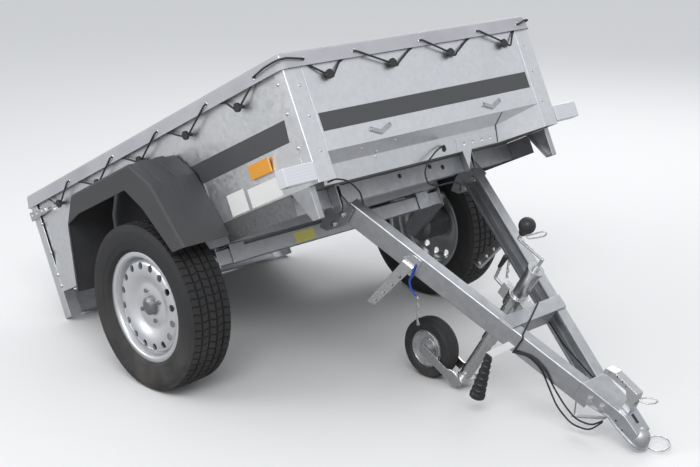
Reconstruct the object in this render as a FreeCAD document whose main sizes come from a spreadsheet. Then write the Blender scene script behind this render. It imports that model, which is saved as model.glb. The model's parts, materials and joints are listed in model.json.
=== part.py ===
import FreeCAD, Part
import Sketcher
import math
import os

# Tipping utility trailer, millimetres. The load box stands tipped back on its
# wheels and rear posts, and the V-shaped drawbar, hinged under the front of the
# box, hangs down until the coupling's lip and the jockey wheel meet the floor.
# The box frame has its origin at the front bottom edge, X forward, Y left, Z up.
# The drawbar frame has its origin at the hinge pin, X along the drawbar.

Vector = FreeCAD.Vector
Rotation = FreeCAD.Rotation
Placement = FreeCAD.Placement

DRIVING_SIZES = {
    # Load box
    "box_length": 1600, "box_width": 1080, "wall_height": 374, "sheet": 2,
    "wall_inset": 8, "fold_top": 132, "fold_low": 80, "rail_width": 12,
    "post_front_leg": 68, "post_side_leg": 44, "post_sheet": 3, "rear_post_drop": 97,
    "floor_thickness": 9, "floor_level": 12, "floor_gap": 8, "seat_gap": 0.3,
    # Sill under the front wall
    "sill_recess": 46, "sill_bottom_recess": 60, "sill_break": 48, "sill_drop": 7,
    "sill_taper": 176, "sill_fold_gap": 1,
    "plate_length": 190, "plate_height": 40, "plate_sheet": 3, "plate_clear": 10.7,
    "tongue_drop": 62, "tongue_width": 44, "slot_pitch": 42, "slot_radius": 6,
    # Members and brackets under the floor
    "member_depth": 60, "member_width": 50, "member_wall": 3,
    "middle_member_place": 640, "rear_member_place": 1120, "hinge_member_set": 10,
    "stay_place": 46, "stay_top": 86, "stay_foot": 31, "stay_drop": 95, "stay_sheet": 3,
    "stay_depth": 22,
    # Axle and arms
    "axle_place": 633, "axle_drop": 93, "axle_square": 52, "axle_wall": 5,
    "axle_flange": 8, "arm_thickness": 22, "arm_radius": 32,
    "saddle_wall": 5, "saddle_set": 90, "saddle_width": 60, "stub_radius": 15,
    "stub_length": 12, "stub_clear": 2,
    # Wheels
    "wheel_place": 800, "wheel_drop": 167, "tyre_gap": 22, "sidewall": 91,
    "tyre_width": 156, "tyre_wall": 12, "bulge": 8, "rim_radius": 165,
    "rim_flange": 182, "rim_width": 122, "rim_sheet": 4, "well_depth": 12,
    "disc_offset": 30, "dish_radius": 78, "dish_rise": 16, "centre_bore": 29,
    "vent_count": 16, "vent_radius": 9, "vent_circle": 132, "vent_depth": 40,
    "stud_count": 4, "stud_circle": 50, "stud_radius": 7, "bolt_reach": 4,
    "hub_radius": 58, "hub_gap": 6, "hub_inner": 92, "hub_neck": 34, "hub_step": 14, "cap_reach": 22,
    "cap_rim": 6,
    # Mudguards
    "guard_cover": 0, "guard_sheet": 4, "guard_round": 9, "guard_bend": 26,
    "guard_rib": 3, "guard_rib_width": 34, "guard_rib_pitch": 62, "guard_top": 262, "guard_shoulder": 178,
    "guard_foot": 42, "guard_half_top": 190, "guard_half_shoulder": 268,
    "guard_half_foot": 342, "guard_flank": 62, "guard_lip": 14, "guard_shift": -10,
    # Cover, lacing and hooks
    "cover_sheet": 3, "cover_gap": 0.5, "skirt_depth": 48, "knob_level": 295,
    "knob_stem": 6, "knob_head": 14, "knob_cap": 8, "cord_radius": 3,
    "eyelet_level": 350, "knob_margin_side": 228, "knob_margin_end": 153,
    "side_knobs": 5, "end_knobs": 4, "lacing_inset": 105,
    "lacing_end_inset": 50,
    # Tailgate
    "gate_gap": 5, "gate_depth": 18, "gate_bottom": 6, "gate_pin": 4,
    "gate_pin_back": 8, "gate_knuckle": 9, "gate_knuckle_length": 60,
    "gate_hinge_set": 82, "gate_ear": 7, "gate_strap": 40, "latch_length": 120,
    "latch_place": 62, "latch_level": 300, "latch_height": 34, "latch_depth": 14,
    # Lamps and reflectors
    "marker_reach": 115, "marker_height": 54, "marker_depth": 40, "marker_back": 35,
    "marker_level": 8, "reflector_length": 100, "reflector_height": 44,
    "reflector_depth": 8, "reflector_place": 227, "reflector_level": 104,
    "lamp_width": 210, "lamp_height": 56, "lamp_depth": 46, "lamp_top": 10,
    "light_bar_height": 92, "bar_lift": 4, "bar_fold": 26,
    # Drawbar hinge and beams
    "hinge_place": 222, "hinge_drop": 57, "hinge_set": 237, "hinge_pin": 8,
    "pin_play": 0.05, "ear_thickness": 5, "ear_radius": 24, "ear_span": 22, "ear_gap": 1,
    "beam_height": 70, "beam_flange": 40, "beam_wall": 3, "beam_lip": 12, "beam_rise": 5,
    "beam_start": 34, "nose_half": 43.3, "beam_end": 905, "plate_thickness": 6,
    "heel_back": 32, "heel_top": 26, "heel_front": 58, "heel_toe": 8, "heel_drop": 118,
    "heel_cut": 14, "bridge_place": 596, "bridge_width": 48, "bridge_wall": 4,
    # Coupling
    "coupling_start": 862, "coupling_wall": 4, "coupling_lift": 18, "ball_place": 1070,
    "ball_radius": 25, "ball_play": 0.3, "ball_lift": 12, "dome_radius": 31,
    "lip_radius": 36, "lip_depth": 5, "socket_depth": 14, "nose_clear": 10,
    "neck_place": 976, "neck_low": 14, "neck_high": 54, "throat_place": 1012,
    "throat_low": 4, "lever_rise": 72, "lever_reach": 118, "lever_grip": 30,
    "lever_root": 30, "lever_width": 30, "lever_sheet": 3, "lever_round": 6,
    # Jockey wheel
    "jockey_place": 524, "jockey_outer": 24, "jockey_wall": 3, "jockey_top": 140,
    "jockey_cap": 14, "jockey_sleeve": 310, "jockey_trail": 153, "jockey_arm_drop": 38,
    "jockey_travel": 130, "travel_spare": 6,
    "jockey_tyre": 100, "jockey_tyre_width": 62, "jockey_rim": 62, "jockey_hub": 16,
    "jockey_disc": 8, "jockey_shoulder": 9, "jockey_axle": 8, "jockey_fork_sheet": 6,
    "swivel_plate": 6, "cheek_depth": 16, "cheek_end": 16, "leg_play": 0.3,
    "clamp_wall": 8, "clamp_height": 46, "clamp_screw": 52, "clamp_bar": 62,
    "clamp_grip": 44, "clamp_grip_radius": 9, "clamp_ear": 30,
    "crank_rod": 5, "crank_boss": 11, "crank_boss_height": 12, "crank_rise": 40,
    "crank_throw": 100, "knob_neck": 10, "knob_ball": 26, "knob_height": 44,
    # Over-centre catches and their keepers
    "catch_place": 276, "catch_plate_height": 72, "catch_plate_width": 56,
    "catch_sheet": 4, "catch_lever": 176, "catch_width": 30, "catch_slant": 40,
    "catch_depth": 12, "catch_hole": 6, "catch_holes": 4,
    # Plug and its holder
    "holder_place": 655, "holder_width": 24, "holder_length": 82, "holder_sheet": 4,
    "holder_slant": 36, "plug_length": 150, "plug_radius": 24, "plug_neck": 11,
    "plug_ribs": 6, "plug_rib": 2, "plug_lean": 16,
    # Keepers on the front wall
    "keeper_level": 110, "keeper_half": 250, "keeper_width": 90, "keeper_depth": 5,
    "keeper_hole": 4,
}

doc = FreeCAD.newDocument("TippingTrailer")
sheet = doc.addObject("Spreadsheet::Sheet", "Sizes")
for row, (alias, number) in enumerate(DRIVING_SIZES.items(), start=1):
    sheet.set("A%d" % row, str(number))
    sheet.setAlias("A%d" % row, alias)
doc.recompute()


class Size:
    """A length that keeps the spreadsheet formula it was worked out with."""

    def __init__(self, value, formula):
        self.value = float(value)
        self.formula = formula

    def __add__(self, other):
        other = as_size(other)
        return Size(self.value + other.value, "(%s + %s)" % (self.formula, other.formula))

    def __sub__(self, other):
        other = as_size(other)
        return Size(self.value - other.value, "(%s - %s)" % (self.formula, other.formula))

    def __mul__(self, other):
        other = as_size(other)
        return Size(self.value * other.value, "(%s * %s)" % (self.formula, other.formula))

    def __truediv__(self, other):
        other = as_size(other)
        return Size(self.value / other.value, "(%s / %s)" % (self.formula, other.formula))

    def __radd__(self, other):
        return as_size(other) + self

    def __rsub__(self, other):
        return as_size(other) - self

    def __rmul__(self, other):
        return as_size(other) * self

    def __neg__(self):
        return as_size(0) - self

    def __float__(self):
        return self.value


def as_size(number):
    if isinstance(number, Size):
        return number
    return Size(number, "(%.9g)" % number)


class Sizes:
    """The spreadsheet's cells by name."""

    def __getattr__(self, alias):
        return Size(sheet.get(alias), "Sizes." + alias)


S = Sizes()
TREE = []


def bind(thing, path, size):
    """Ties a property to its formula in the spreadsheet."""
    thing.setExpression(path, as_size(size).formula)


# Sketches and features

PLANE_SIGN = {"XY_Plane": 1, "XZ_Plane": -1, "YZ_Plane": 1}


def new_body(name, placement):
    body = doc.addObject("PartDesign::Body", name)
    body.Label = name
    body.AllowCompound = True
    TREE.append((body, placement))
    return body


def new_sketch(body, plane, place=0):
    """A sketch parallel to one of the body's origin planes, at a place along its axis."""
    sketch = body.newObject("Sketcher::SketchObject", body.Name + "_outline")
    support = [part for part in body.Origin.OriginFeatures if part.Role == plane][0]
    sketch.AttachmentSupport = [(support, "")]
    sketch.MapMode = "FlatFace"
    offset = as_size(place) * PLANE_SIGN[plane]
    sketch.AttachmentOffset = Placement(Vector(0, 0, offset.value), Rotation())
    bind(sketch, "AttachmentOffset.Base.z", offset)
    return sketch


def fix_point(sketch, geometry, end, across, up):
    """Dimensions one point of a sketch from its origin."""
    for kind, size in (("DistanceX", as_size(across)), ("DistanceY", as_size(up))):
        index = sketch.addConstraint(
            Sketcher.Constraint(kind, -1, 1, geometry, end, size.value))
        bind(sketch, "Constraints[%d]" % index, size)


def add_polygon(sketch, corners):
    """A closed outline with each corner dimensioned."""
    first = sketch.GeometryCount
    count = len(corners)
    points = [Vector(float(across), float(up), 0) for across, up in corners]
    for index in range(count):
        line = Part.LineSegment(points[index], points[(index + 1) % count])
        sketch.addGeometry(line, False)
    for index in range(count):
        following = first + (index + 1) % count
        sketch.addConstraint(
            Sketcher.Constraint("Coincident", first + index, 2, following, 1))
    for index, (across, up) in enumerate(corners):
        fix_point(sketch, first + index, 1, across, up)


def add_circle(sketch, across, up, radius):
    """A circle with its centre and radius dimensioned."""
    centre = Vector(float(across), float(up), 0)
    index = sketch.addGeometry(Part.Circle(centre, Vector(0, 0, 1), float(radius)), False)
    fix_point(sketch, index, 3, across, up)
    constraint = sketch.addConstraint(
        Sketcher.Constraint("Radius", index, float(radius)))
    bind(sketch, "Constraints[%d]" % constraint, radius)


def rectangle(across_low, up_low, across_high, up_high):
    return [(across_low, up_low), (across_high, up_low),
            (across_high, up_high), (across_low, up_high)]


def extrude(body, kind, sketch, length):
    """A pad or pocket of a given length, half to each side of its sketch."""
    feature = body.newObject("PartDesign::" + kind, body.Name + "_" + kind.lower())
    feature.Profile = sketch
    feature.Midplane = True
    feature.Length = as_size(length).value
    bind(feature, "Length", length)
    return feature


def pad_polygon(body, plane, place, corners, length):
    sketch = new_sketch(body, plane, place)
    add_polygon(sketch, corners)
    return extrude(body, "Pad", sketch, length)


def pad_circles(body, plane, place, circles, length):
    sketch = new_sketch(body, plane, place)
    for across, up, radius in circles:
        add_circle(sketch, across, up, radius)
    return extrude(body, "Pad", sketch, length)


def pocket_polygon(body, plane, place, corners, length):
    sketch = new_sketch(body, plane, place)
    add_polygon(sketch, corners)
    return extrude(body, "Pocket", sketch, length)


def pocket_circles(body, plane, place, circles, length):
    sketch = new_sketch(body, plane, place)
    for across, up, radius in circles:
        add_circle(sketch, across, up, radius)
    return extrude(body, "Pocket", sketch, length)


def revolve(body, sketch, kind="Revolution"):
    """Turns a sketch round its own horizontal axis."""
    feature = body.newObject("PartDesign::" + kind, body.Name + "_turned")
    feature.Profile = sketch
    feature.ReferenceAxis = (sketch, ["H_Axis"])
    feature.Angle = 360
    return feature


def bent_rod(body, points, radius, out=0):
    """A round rod along straight runs in the XZ plane, with rounded corners."""
    spine = new_sketch(body, "XZ_Plane", out)
    for index in range(len(points) - 1):
        ends = [Vector(float(across), float(up), 0) for across, up in points[index:index + 2]]
        line = spine.addGeometry(Part.LineSegment(*ends), False)
        fix_point(spine, line, 1, *points[index])
        if index:
            spine.addConstraint(Sketcher.Constraint("Coincident", line - 1, 2, line, 1))
    fix_point(spine, line, 2, *points[-1])
    first_across, first_up = points[0]
    upright = abs(float(points[1][0]) - float(first_across)) < 0.001
    profile = new_sketch(body, "XY_Plane" if upright else "YZ_Plane",
                         first_up if upright else first_across)
    if upright:
        add_circle(profile, first_across, out, radius)
    else:
        add_circle(profile, out, first_up, radius)
    rod = body.newObject("PartDesign::AdditivePipe", body.Name + "_rod")
    rod.Profile = profile
    rod.Spine = spine
    rod.Transition = "Round corner"
    return rod


def repeat_round(body, feature, axis_role, count):
    """A polar pattern of one feature about an axis of the body."""
    doc.recompute()
    pattern = body.newObject("PartDesign::PolarPattern", body.Name + "_ring")
    axis = [part for part in body.Origin.OriginFeatures if part.Role == axis_role][0]
    pattern.Originals = [feature]
    pattern.Axis = (axis, [""])
    pattern.Angle = 360
    pattern.Occurrences = int(float(count))
    bind(pattern, "Occurrences", count)
    body.Tip = pattern
    return pattern


# Where the box, drawbar and jockey leg stand

def solve_tilt(across, up, height):
    """Turn that brings a point (across, up) to a height above the pivot's level."""
    reach = math.hypot(across, up)
    return math.asin(height / reach) - math.atan2(up, across)


tyre_radius = S.rim_flange + S.sidewall
ahead_of_post = float(S.box_length - S.wheel_place)
above_post = float(S.rear_post_drop - S.wheel_drop)
pitch = solve_tilt(ahead_of_post, above_post, float(tyre_radius))


def tipped(across, up, angle):
    """A point of the XZ plane turned nose-up by an angle."""
    return (across * math.cos(angle) - up * math.sin(angle),
            across * math.sin(angle) + up * math.cos(angle))


post_foot = tipped(-float(S.box_length), -float(S.rear_post_drop), pitch)
hinge_raised = tipped(-float(S.hinge_place), -float(S.hinge_drop), pitch)
hinge_height = hinge_raised[1] - post_foot[1]

lip_ahead = float(S.ball_place + S.lip_radius)
lip_up = float(S.beam_rise + S.ball_lift - S.socket_depth)
droop = solve_tilt(lip_ahead, lip_up, float(S.nose_clear) - hinge_height)
fold = pitch - droop
dome_centre = tipped(float(S.ball_place), float(S.beam_rise + S.ball_lift), droop)
nose_reach = max(tipped(lip_ahead, lip_up, droop)[0], dome_centre[0] + float(S.dome_radius))

# The finished trailer's box is centred on the row's origin.
front_reach = hinge_raised[0] + nose_reach
cover_corner = tipped(-float(S.box_length + S.cover_gap + S.cover_sheet),
                      float(S.wall_height + S.seat_gap + S.cover_sheet), pitch)
middle = (front_reach + cover_corner[0]) / 2

BOX = Placement(Vector(-middle, 0, -post_foot[1]),
                Rotation(Vector(0, 1, 0), -math.degrees(pitch)))
HINGE = Placement(Vector(-float(S.hinge_place), 0, -float(S.hinge_drop)), Rotation())
DRAWBAR = BOX.multiply(HINGE).multiply(
    Placement(Vector(), Rotation(Vector(0, 1, 0), math.degrees(fold))))

# How far below the drawbar's hinge line the jockey wheel's centre comes to rest.
jockey_axle_ahead = float(S.jockey_place - S.jockey_trail)
jockey_axle_up = ((float(S.jockey_tyre) - hinge_height
                   - jockey_axle_ahead * math.sin(droop)) / math.cos(droop))
print("pitch %.2f, drawbar folded %.2f degrees" % (math.degrees(pitch), math.degrees(fold)))
print("row frame: front edge at", tuple(round(v, 2) for v in BOX.Base))
print("hinge at", tuple(round(v, 2) for v in DRAWBAR.Base))

half_width = S.box_width / 2
post_inner = half_width - S.post_front_leg
taper_start = post_inner - S.seat_gap - S.sill_taper
wheel_half_track = half_width + S.tyre_gap + S.tyre_width / 2
axle_half = wheel_half_track - S.hub_inner - S.hub_gap - S.arm_thickness
hinge_half = half_width - S.hinge_set
SIDES = (("right", -1), ("left", 1))


# Load box

def make_floor():
    body = new_body("floor", BOX)
    inside = half_width - S.post_sheet - S.seat_gap
    front = -(S.sill_bottom_recess + S.sheet + S.seat_gap)
    back = -(S.box_length - S.gate_depth - S.floor_gap)
    corners = rectangle(back, -inside, front, inside)
    pad_polygon(body, "XY_Plane", S.floor_level - S.floor_thickness / 2, corners,
                S.floor_thickness)


def wall_section(side, bottom):
    """Folded sheet: a proud lower strip, a sloping fold and a rolled top rail."""
    low = half_width
    high = half_width - S.wall_inset
    outer = [(low, bottom), (low, S.fold_low), (high, S.fold_top), (high, S.wall_height)]
    inner = [(high - S.rail_width, S.wall_height), (high - S.rail_width, S.wall_height - S.rail_width),
             (high - S.rail_width + S.sheet, S.wall_height - S.rail_width),
             (high - S.rail_width + S.sheet, S.wall_height - S.sheet),
             (high - S.sheet, S.wall_height - S.sheet),
             (high - S.sheet, S.fold_top), (low - S.sheet, S.fold_low), (low - S.sheet, bottom)]
    return [(across * side, up) for across, up in outer + inner]


def make_side_wall(name, side):
    body = new_body("wall_" + name, BOX)
    front = S.post_side_leg + S.seat_gap
    length = S.box_length - front * 2
    pad_polygon(body, "YZ_Plane", -(front + length / 2), wall_section(side, 0), length)


def make_front_wall():
    """The panel between the front posts, with a rolled top rail."""
    body = new_body("wall_front", BOX)
    half = post_inner - S.seat_gap
    section = [(0, S.fold_low), (0, S.wall_height), (-S.rail_width, S.wall_height),
               (-S.rail_width, S.wall_height - S.rail_width),
               (-S.rail_width + S.sheet, S.wall_height - S.rail_width),
               (-S.rail_width + S.sheet, S.wall_height - S.sheet),
               (-S.sheet, S.wall_height - S.sheet), (-S.sheet, S.fold_low)]
    pad_polygon(body, "XZ_Plane", 0, section, half * 2)


def make_front_sill():
    """Sheet folded back under the front wall, tapering to the post at the far end."""
    body = new_body("front_sill", BOX)
    top = S.fold_low - S.seat_gap
    thick = S.sheet
    folded = [(0, top), (-S.sill_recess, S.sill_break), (-S.sill_bottom_recess, -S.sill_drop),
              (-S.sill_bottom_recess - thick, -S.sill_drop),
              (-S.sill_recess - thick, S.sill_break), (-thick, top)]
    flush = [(0, top), (0, top - S.sill_fold_gap), (0, 0), (-thick, 0),
             (-thick, top - S.sill_fold_gap), (-thick, top)]
    end = post_inner - S.seat_gap
    pad_polygon(body, "XZ_Plane", (taper_start - end) / 2, folded, taper_start + end)
    sketches = []
    for place, section in ((taper_start, folded), (end, flush)):
        sketch = new_sketch(body, "XZ_Plane", place)
        add_polygon(sketch, section)
        sketches.append(sketch)
    loft = body.newObject("PartDesign::AdditiveLoft", "front_sill_taper")
    loft.Profile = sketches[0]
    loft.Sections = sketches[1:]
    loft.Ruled = True


def make_sill_plate():
    """Punched plate on the sill's lower face, short of its taper, with a tongue that
    points down."""
    run = float(S.sill_bottom_recess - S.sill_recess)
    fall = float(S.sill_break + S.sill_drop)
    lean = math.degrees(math.atan2(run, fall))
    middle = taper_start - S.plate_clear - S.plate_length / 2
    foot = Vector(-float(S.sill_bottom_recess), float(middle), -float(S.sill_drop))
    frame = BOX.multiply(Placement(foot, Rotation(Vector(0, 1, 0), lean)))
    body = new_body("sill_plate", frame)
    half = S.plate_length / 2
    low = as_size(2)
    high = low + S.plate_height
    tongue_end = -half + S.tongue_width * 1.5
    tongue_start = tongue_end - S.tongue_width
    outline = [(-half, low), (tongue_start, low), ((tongue_start + tongue_end) / 2, low - S.tongue_drop),
               (tongue_end, low), (half, low), (half, high), (-half, high)]
    face = S.seat_gap + S.plate_sheet / 2
    pad_polygon(body, "YZ_Plane", face, outline, S.plate_sheet)
    middle_up = (low + high) / 2
    slots = [((index - 1.5) * S.slot_pitch, middle_up, S.slot_radius) for index in range(4)]
    pocket_circles(body, "YZ_Plane", face, slots, S.plate_sheet * 3)


def make_posts():
    """Four corner posts of folded sheet; the rear pair reach down past the floor."""
    for end, name in ((0, "front"), (1, "rear")):
        body = new_body("corner_posts_" + name, BOX)
        face = -S.box_length * end
        inward = -1 if end == 0 else 1
        bottom = -S.rear_post_drop * end
        height = S.wall_height - bottom
        sketch = new_sketch(body, "XY_Plane", (S.wall_height + bottom) / 2)
        for side in (-1, 1):
            outer = half_width * side
            leg = post_inner * side
            corners = [(face, outer), (face, leg), (face + inward * S.post_sheet, leg),
                       (face + inward * S.post_sheet, outer - S.post_sheet * side),
                       (face + inward * S.post_side_leg, outer - S.post_sheet * side),
                       (face + inward * S.post_side_leg, outer)]
            add_polygon(sketch, corners)
        extrude(body, "Pad", sketch, height)


def make_members():
    """Folded channels across the box under its floor, open downwards."""
    body = new_body("floor_members", BOX)
    top = S.floor_level - S.floor_thickness - S.seat_gap
    places = (S.middle_member_place, S.rear_member_place)
    half = half_width - S.sheet - S.seat_gap
    for place in places:
        low = top - S.member_depth
        back = -place - S.member_width / 2
        front = -place + S.member_width / 2
        section = [(back, low), (back, top), (front, top), (front, low),
                   (front - S.member_wall, low), (front - S.member_wall, top - S.member_wall),
                   (back + S.member_wall, top - S.member_wall), (back + S.member_wall, low)]
        pad_polygon(body, "XZ_Plane", 0, section, half * 2)


# Under the box

def make_hinge_member():
    """The cross-channel that carries the drawbar's hinges, in three lengths."""
    body = new_body("hinge_member", BOX)
    top = S.floor_level - S.floor_thickness - S.seat_gap
    front = -S.hinge_place - S.ear_radius + S.hinge_member_set
    back = front - S.member_width
    low = top - S.member_depth
    wall = S.member_wall
    section = [(back, low), (back, top), (front, top), (front, low),
               (front - wall, low), (front - wall, top - wall),
               (back + wall, top - wall), (back + wall, low)]
    inner_end = hinge_half - S.ear_span / 2 - S.seat_gap
    outer_start = hinge_half + S.ear_span / 2 + S.seat_gap
    outer_end = half_width - S.post_sheet - S.seat_gap
    pad_polygon(body, "XZ_Plane", 0, section, inner_end * 2)
    for side in (-1, 1):
        pad_polygon(body, "XZ_Plane", (outer_start + outer_end) / 2 * side, section,
                    outer_end - outer_start)


def make_hinge_bracket(name, side):
    """A fork of two rounded ears under the floor, with the pin across it."""
    body = new_body("hinge_bracket_" + name, BOX)
    top = S.floor_level - S.floor_thickness - S.seat_gap
    pin_across = -S.hinge_place
    pin_up = -S.hinge_drop
    back = pin_across - S.ear_radius - S.member_width
    front = pin_across + S.ear_radius
    web = rectangle(back, top - S.ear_thickness, front, top)
    middle_place = hinge_half * side
    pad_polygon(body, "XZ_Plane", middle_place, web, S.ear_span)
    ear = [(back, top), (back, top - S.member_depth * 0.6),
           (pin_across - S.ear_radius, pin_up), (pin_across + S.ear_radius, pin_up), (front, top)]
    for step in (-1, 1):
        place = middle_place + (S.ear_span / 2 - S.ear_thickness / 2) * step
        pad_polygon(body, "XZ_Plane", place, ear, S.ear_thickness)
        pad_circles(body, "XZ_Plane", place, [(pin_across, pin_up, S.ear_radius)],
                    S.ear_thickness)
    pad_circles(body, "XZ_Plane", middle_place, [(pin_across, pin_up, S.hinge_pin)],
                S.ear_span)


def make_stays():
    """Tapering pressed brackets that hang from the box sides, open inwards."""
    body = new_body("side_stays", BOX)
    top = -S.seat_gap
    outline = [(-S.stay_place - S.stay_top, top), (-S.stay_place, top),
               (-S.stay_place, -S.stay_drop), (-S.stay_place - S.stay_foot, -S.stay_drop)]
    hollow = [(-S.stay_place - S.stay_top + S.stay_sheet * 2, top + S.stay_sheet),
              (-S.stay_place - S.stay_sheet, top + S.stay_sheet),
              (-S.stay_place - S.stay_sheet, -S.stay_drop + S.stay_sheet),
              (-S.stay_place - S.stay_foot + S.stay_sheet, -S.stay_drop + S.stay_sheet)]
    for side in (-1, 1):
        place = (half_width - S.stay_depth / 2) * side
        pad_polygon(body, "XZ_Plane", place, outline, S.stay_depth)
    for side in (-1, 1):
        place = (half_width - S.stay_sheet - S.stay_depth / 2) * side
        pocket_polygon(body, "XZ_Plane", place, hollow, S.stay_depth)


def make_axle():
    """A square tube with an end flange at each side."""
    body = new_body("axle_tube", BOX)
    half = S.axle_square / 2
    place, level = -S.axle_place, -S.axle_drop
    outer = rectangle(place - half, level - half, place + half, level + half)
    inner_half = half - S.axle_wall
    inner = rectangle(place - inner_half, level - inner_half,
                      place + inner_half, level + inner_half)
    sketch = new_sketch(body, "XZ_Plane", 0)
    add_polygon(sketch, outer)
    add_polygon(sketch, inner)
    extrude(body, "Pad", sketch, axle_half * 2)
    flange = half + S.axle_flange
    plate = rectangle(place - flange, level - flange, place + flange, level + flange)
    for side in (-1, 1):
        pad_polygon(body, "XZ_Plane", (axle_half - S.axle_wall / 2) * side, plate, S.axle_wall)


def make_axle_saddles():
    """Bent plates that clamp the axle under the middle floor member."""
    body = new_body("axle_saddles", BOX)
    half = S.axle_square / 2 + S.seat_gap
    place, level = -S.axle_place, -S.axle_drop
    top = S.floor_level - S.floor_thickness - S.seat_gap * 2 - S.member_depth
    wall = S.saddle_wall
    outline = [(place - half - wall, level - half), (place - half - wall, top),
               (place + half + wall, top), (place + half + wall, level - half),
               (place + half, level - half), (place + half, level + half),
               (place - half, level + half), (place - half, level - half)]
    for side in (-1, 1):
        pad_polygon(body, "XZ_Plane", (axle_half - S.saddle_set) * side, outline, S.saddle_width)


def make_arm(name, side):
    """A trailing arm from the axle's end to the stub axle that carries the wheel."""
    body = new_body("axle_arm_" + name, BOX)
    arm_start = axle_half + S.seat_gap
    place = (arm_start + S.arm_thickness / 2) * side
    level, back = -S.axle_drop, -S.axle_place
    stub_level, stub_back = -S.wheel_drop, -S.wheel_place
    radius = S.arm_radius
    run = float(stub_back - back)
    fall = float(stub_level - level)
    reach = math.hypot(run, fall)
    slant_up, slant_back = abs(run) / reach, abs(fall) / reach
    web = [(back - radius * slant_back, level + radius * slant_up),
           (stub_back - radius * slant_back, stub_level + radius * slant_up),
           (stub_back + radius * slant_back, stub_level - radius * slant_up),
           (back + radius * slant_back, level - radius * slant_up)]
    pad_polygon(body, "XZ_Plane", place, web, S.arm_thickness)
    for across, up in ((back, level), (stub_back, stub_level)):
        pad_circles(body, "XZ_Plane", place, [(across, up, radius)], S.arm_thickness)
    stub_end = wheel_half_track + S.stub_length
    stub_length = stub_end - arm_start
    pad_circles(body, "XZ_Plane", (arm_start + stub_length / 2) * side,
                [(stub_back, stub_level, S.stub_radius)], stub_length)


# Wheels: built with their axle along Y and their outer face towards -Y

def mirrored(points):
    """The same outline on the other side of the middle, in reverse order."""
    return [(-across, up) for across, up in reversed(points)]


def wheel_frame(side):
    turn = 0 if side < 0 else 180
    centre = Vector(-float(S.wheel_place), float(wheel_half_track) * side, -float(S.wheel_drop))
    return BOX.multiply(Placement(centre, Rotation(Vector(0, 0, 1), turn)))


def make_tyre(name, side):
    """Turned hollow section with beads, bulging sidewalls and shoulders."""
    body = new_body("tyre_" + name, wheel_frame(side))
    half = S.tyre_width / 2
    seat = S.rim_radius + S.seat_gap
    inside = S.rim_width / 2 - S.rim_sheet - S.seat_gap
    bead = S.rim_flange
    wall = S.tyre_wall
    height = S.sidewall
    outer = [(-inside, seat), (-inside, bead), (-half + S.bulge, bead + height * 0.1),
             (-half, bead + height * 0.3), (-half + S.bulge / 2, bead + height * 0.6),
             (-half + S.bulge * 1.6, bead + height * 0.87), (-half + S.bulge * 3.2, tyre_radius)]
    inner = [(half - S.bulge * 3.8, tyre_radius - wall),
             (half - S.bulge * 1.6 - wall, bead + height * 0.87 - wall),
             (half - wall, bead + height * 0.55), (half - wall, bead + height * 0.3),
             (inside - wall, bead), (inside - wall, seat)]
    outline = outer + mirrored(outer) + inner[::-1] + mirrored(inner[::-1])
    sketch = new_sketch(body, "YZ_Plane", 0)
    add_polygon(sketch, outline)
    revolve(body, sketch)


def make_rim(name, side):
    """Turned rim barrel and dished disc, with a ring of vents and four bolt holes."""
    body = new_body("rim_" + name, wheel_frame(side))
    half = S.rim_width / 2
    wall = S.rim_sheet
    seat = S.rim_radius
    well = S.rim_radius - S.well_depth
    flange = S.rim_flange
    disc = -S.disc_offset
    face = disc - S.dish_rise
    outer = [(-half, flange), (-half + wall, flange), (-half + wall, seat),
             (-half * 0.45, seat), (-half * 0.3, well)]
    inner = [(half, seat - wall), (half * 0.45, seat - wall), (half * 0.3, well - wall)]
    sketch = new_sketch(body, "YZ_Plane", 0)
    add_polygon(sketch, outer + mirrored(outer) + inner + mirrored(inner))
    revolve(body, sketch)
    edge = well - wall / 2
    root = -half * 0.2
    crown = S.vent_circle - S.vent_radius * 1.8
    dish = [(disc, S.centre_bore), (disc, S.dish_radius), (face, crown),
            (face, edge - wall), (root, edge + wall / 4), (root, edge - wall * 0.75),
            (face + wall, edge - wall * 2), (face + wall, crown),
            (disc + wall, S.dish_radius), (disc + wall, S.centre_bore)]
    plate = new_sketch(body, "YZ_Plane", 0)
    add_polygon(plate, dish)
    revolve(body, plate)
    vent = pocket_circles(body, "XZ_Plane", face, [(0, S.vent_circle, S.vent_radius)],
                          S.vent_depth)
    repeat_round(body, vent, "Y_Axis", S.vent_count)
    bolt = pocket_circles(body, "XZ_Plane", disc,
                          [(0, S.stud_circle, S.stud_radius + S.seat_gap)], S.vent_depth)
    repeat_round(body, bolt, "Y_Axis", S.stud_count)


def make_hub(name, side):
    """Turned hub with its grease cap and four wheel bolts."""
    body = new_body("hub_" + name, wheel_frame(side))
    inner_end = S.hub_inner
    disc = -S.disc_offset + S.rim_sheet + S.seat_gap
    cap = S.centre_bore - S.seat_gap
    section = [(disc, S.hub_radius), (disc, cap), (disc - S.cap_reach, cap),
               (disc - S.cap_reach - S.cap_rim, cap * 0.6), (disc - S.cap_reach - S.cap_rim, 0),
               (-S.stub_length - S.stub_clear, 0),
               (-S.stub_length - S.stub_clear, S.stub_radius + S.pin_play),
               (inner_end, S.stub_radius + S.pin_play), (inner_end, S.hub_neck),
               (inner_end - S.hub_step, S.hub_radius)]
    sketch = new_sketch(body, "YZ_Plane", 0)
    add_polygon(sketch, section)
    revolve(body, sketch)
    bolt_length = S.rim_sheet * 2 + S.bolt_reach * 2
    bolt = pad_circles(body, "XZ_Plane", disc - bolt_length / 2,
                       [(0, S.stud_circle, S.stud_radius)], bolt_length)
    repeat_round(body, bolt, "Y_Axis", S.stud_count)


# Mudguards

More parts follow.
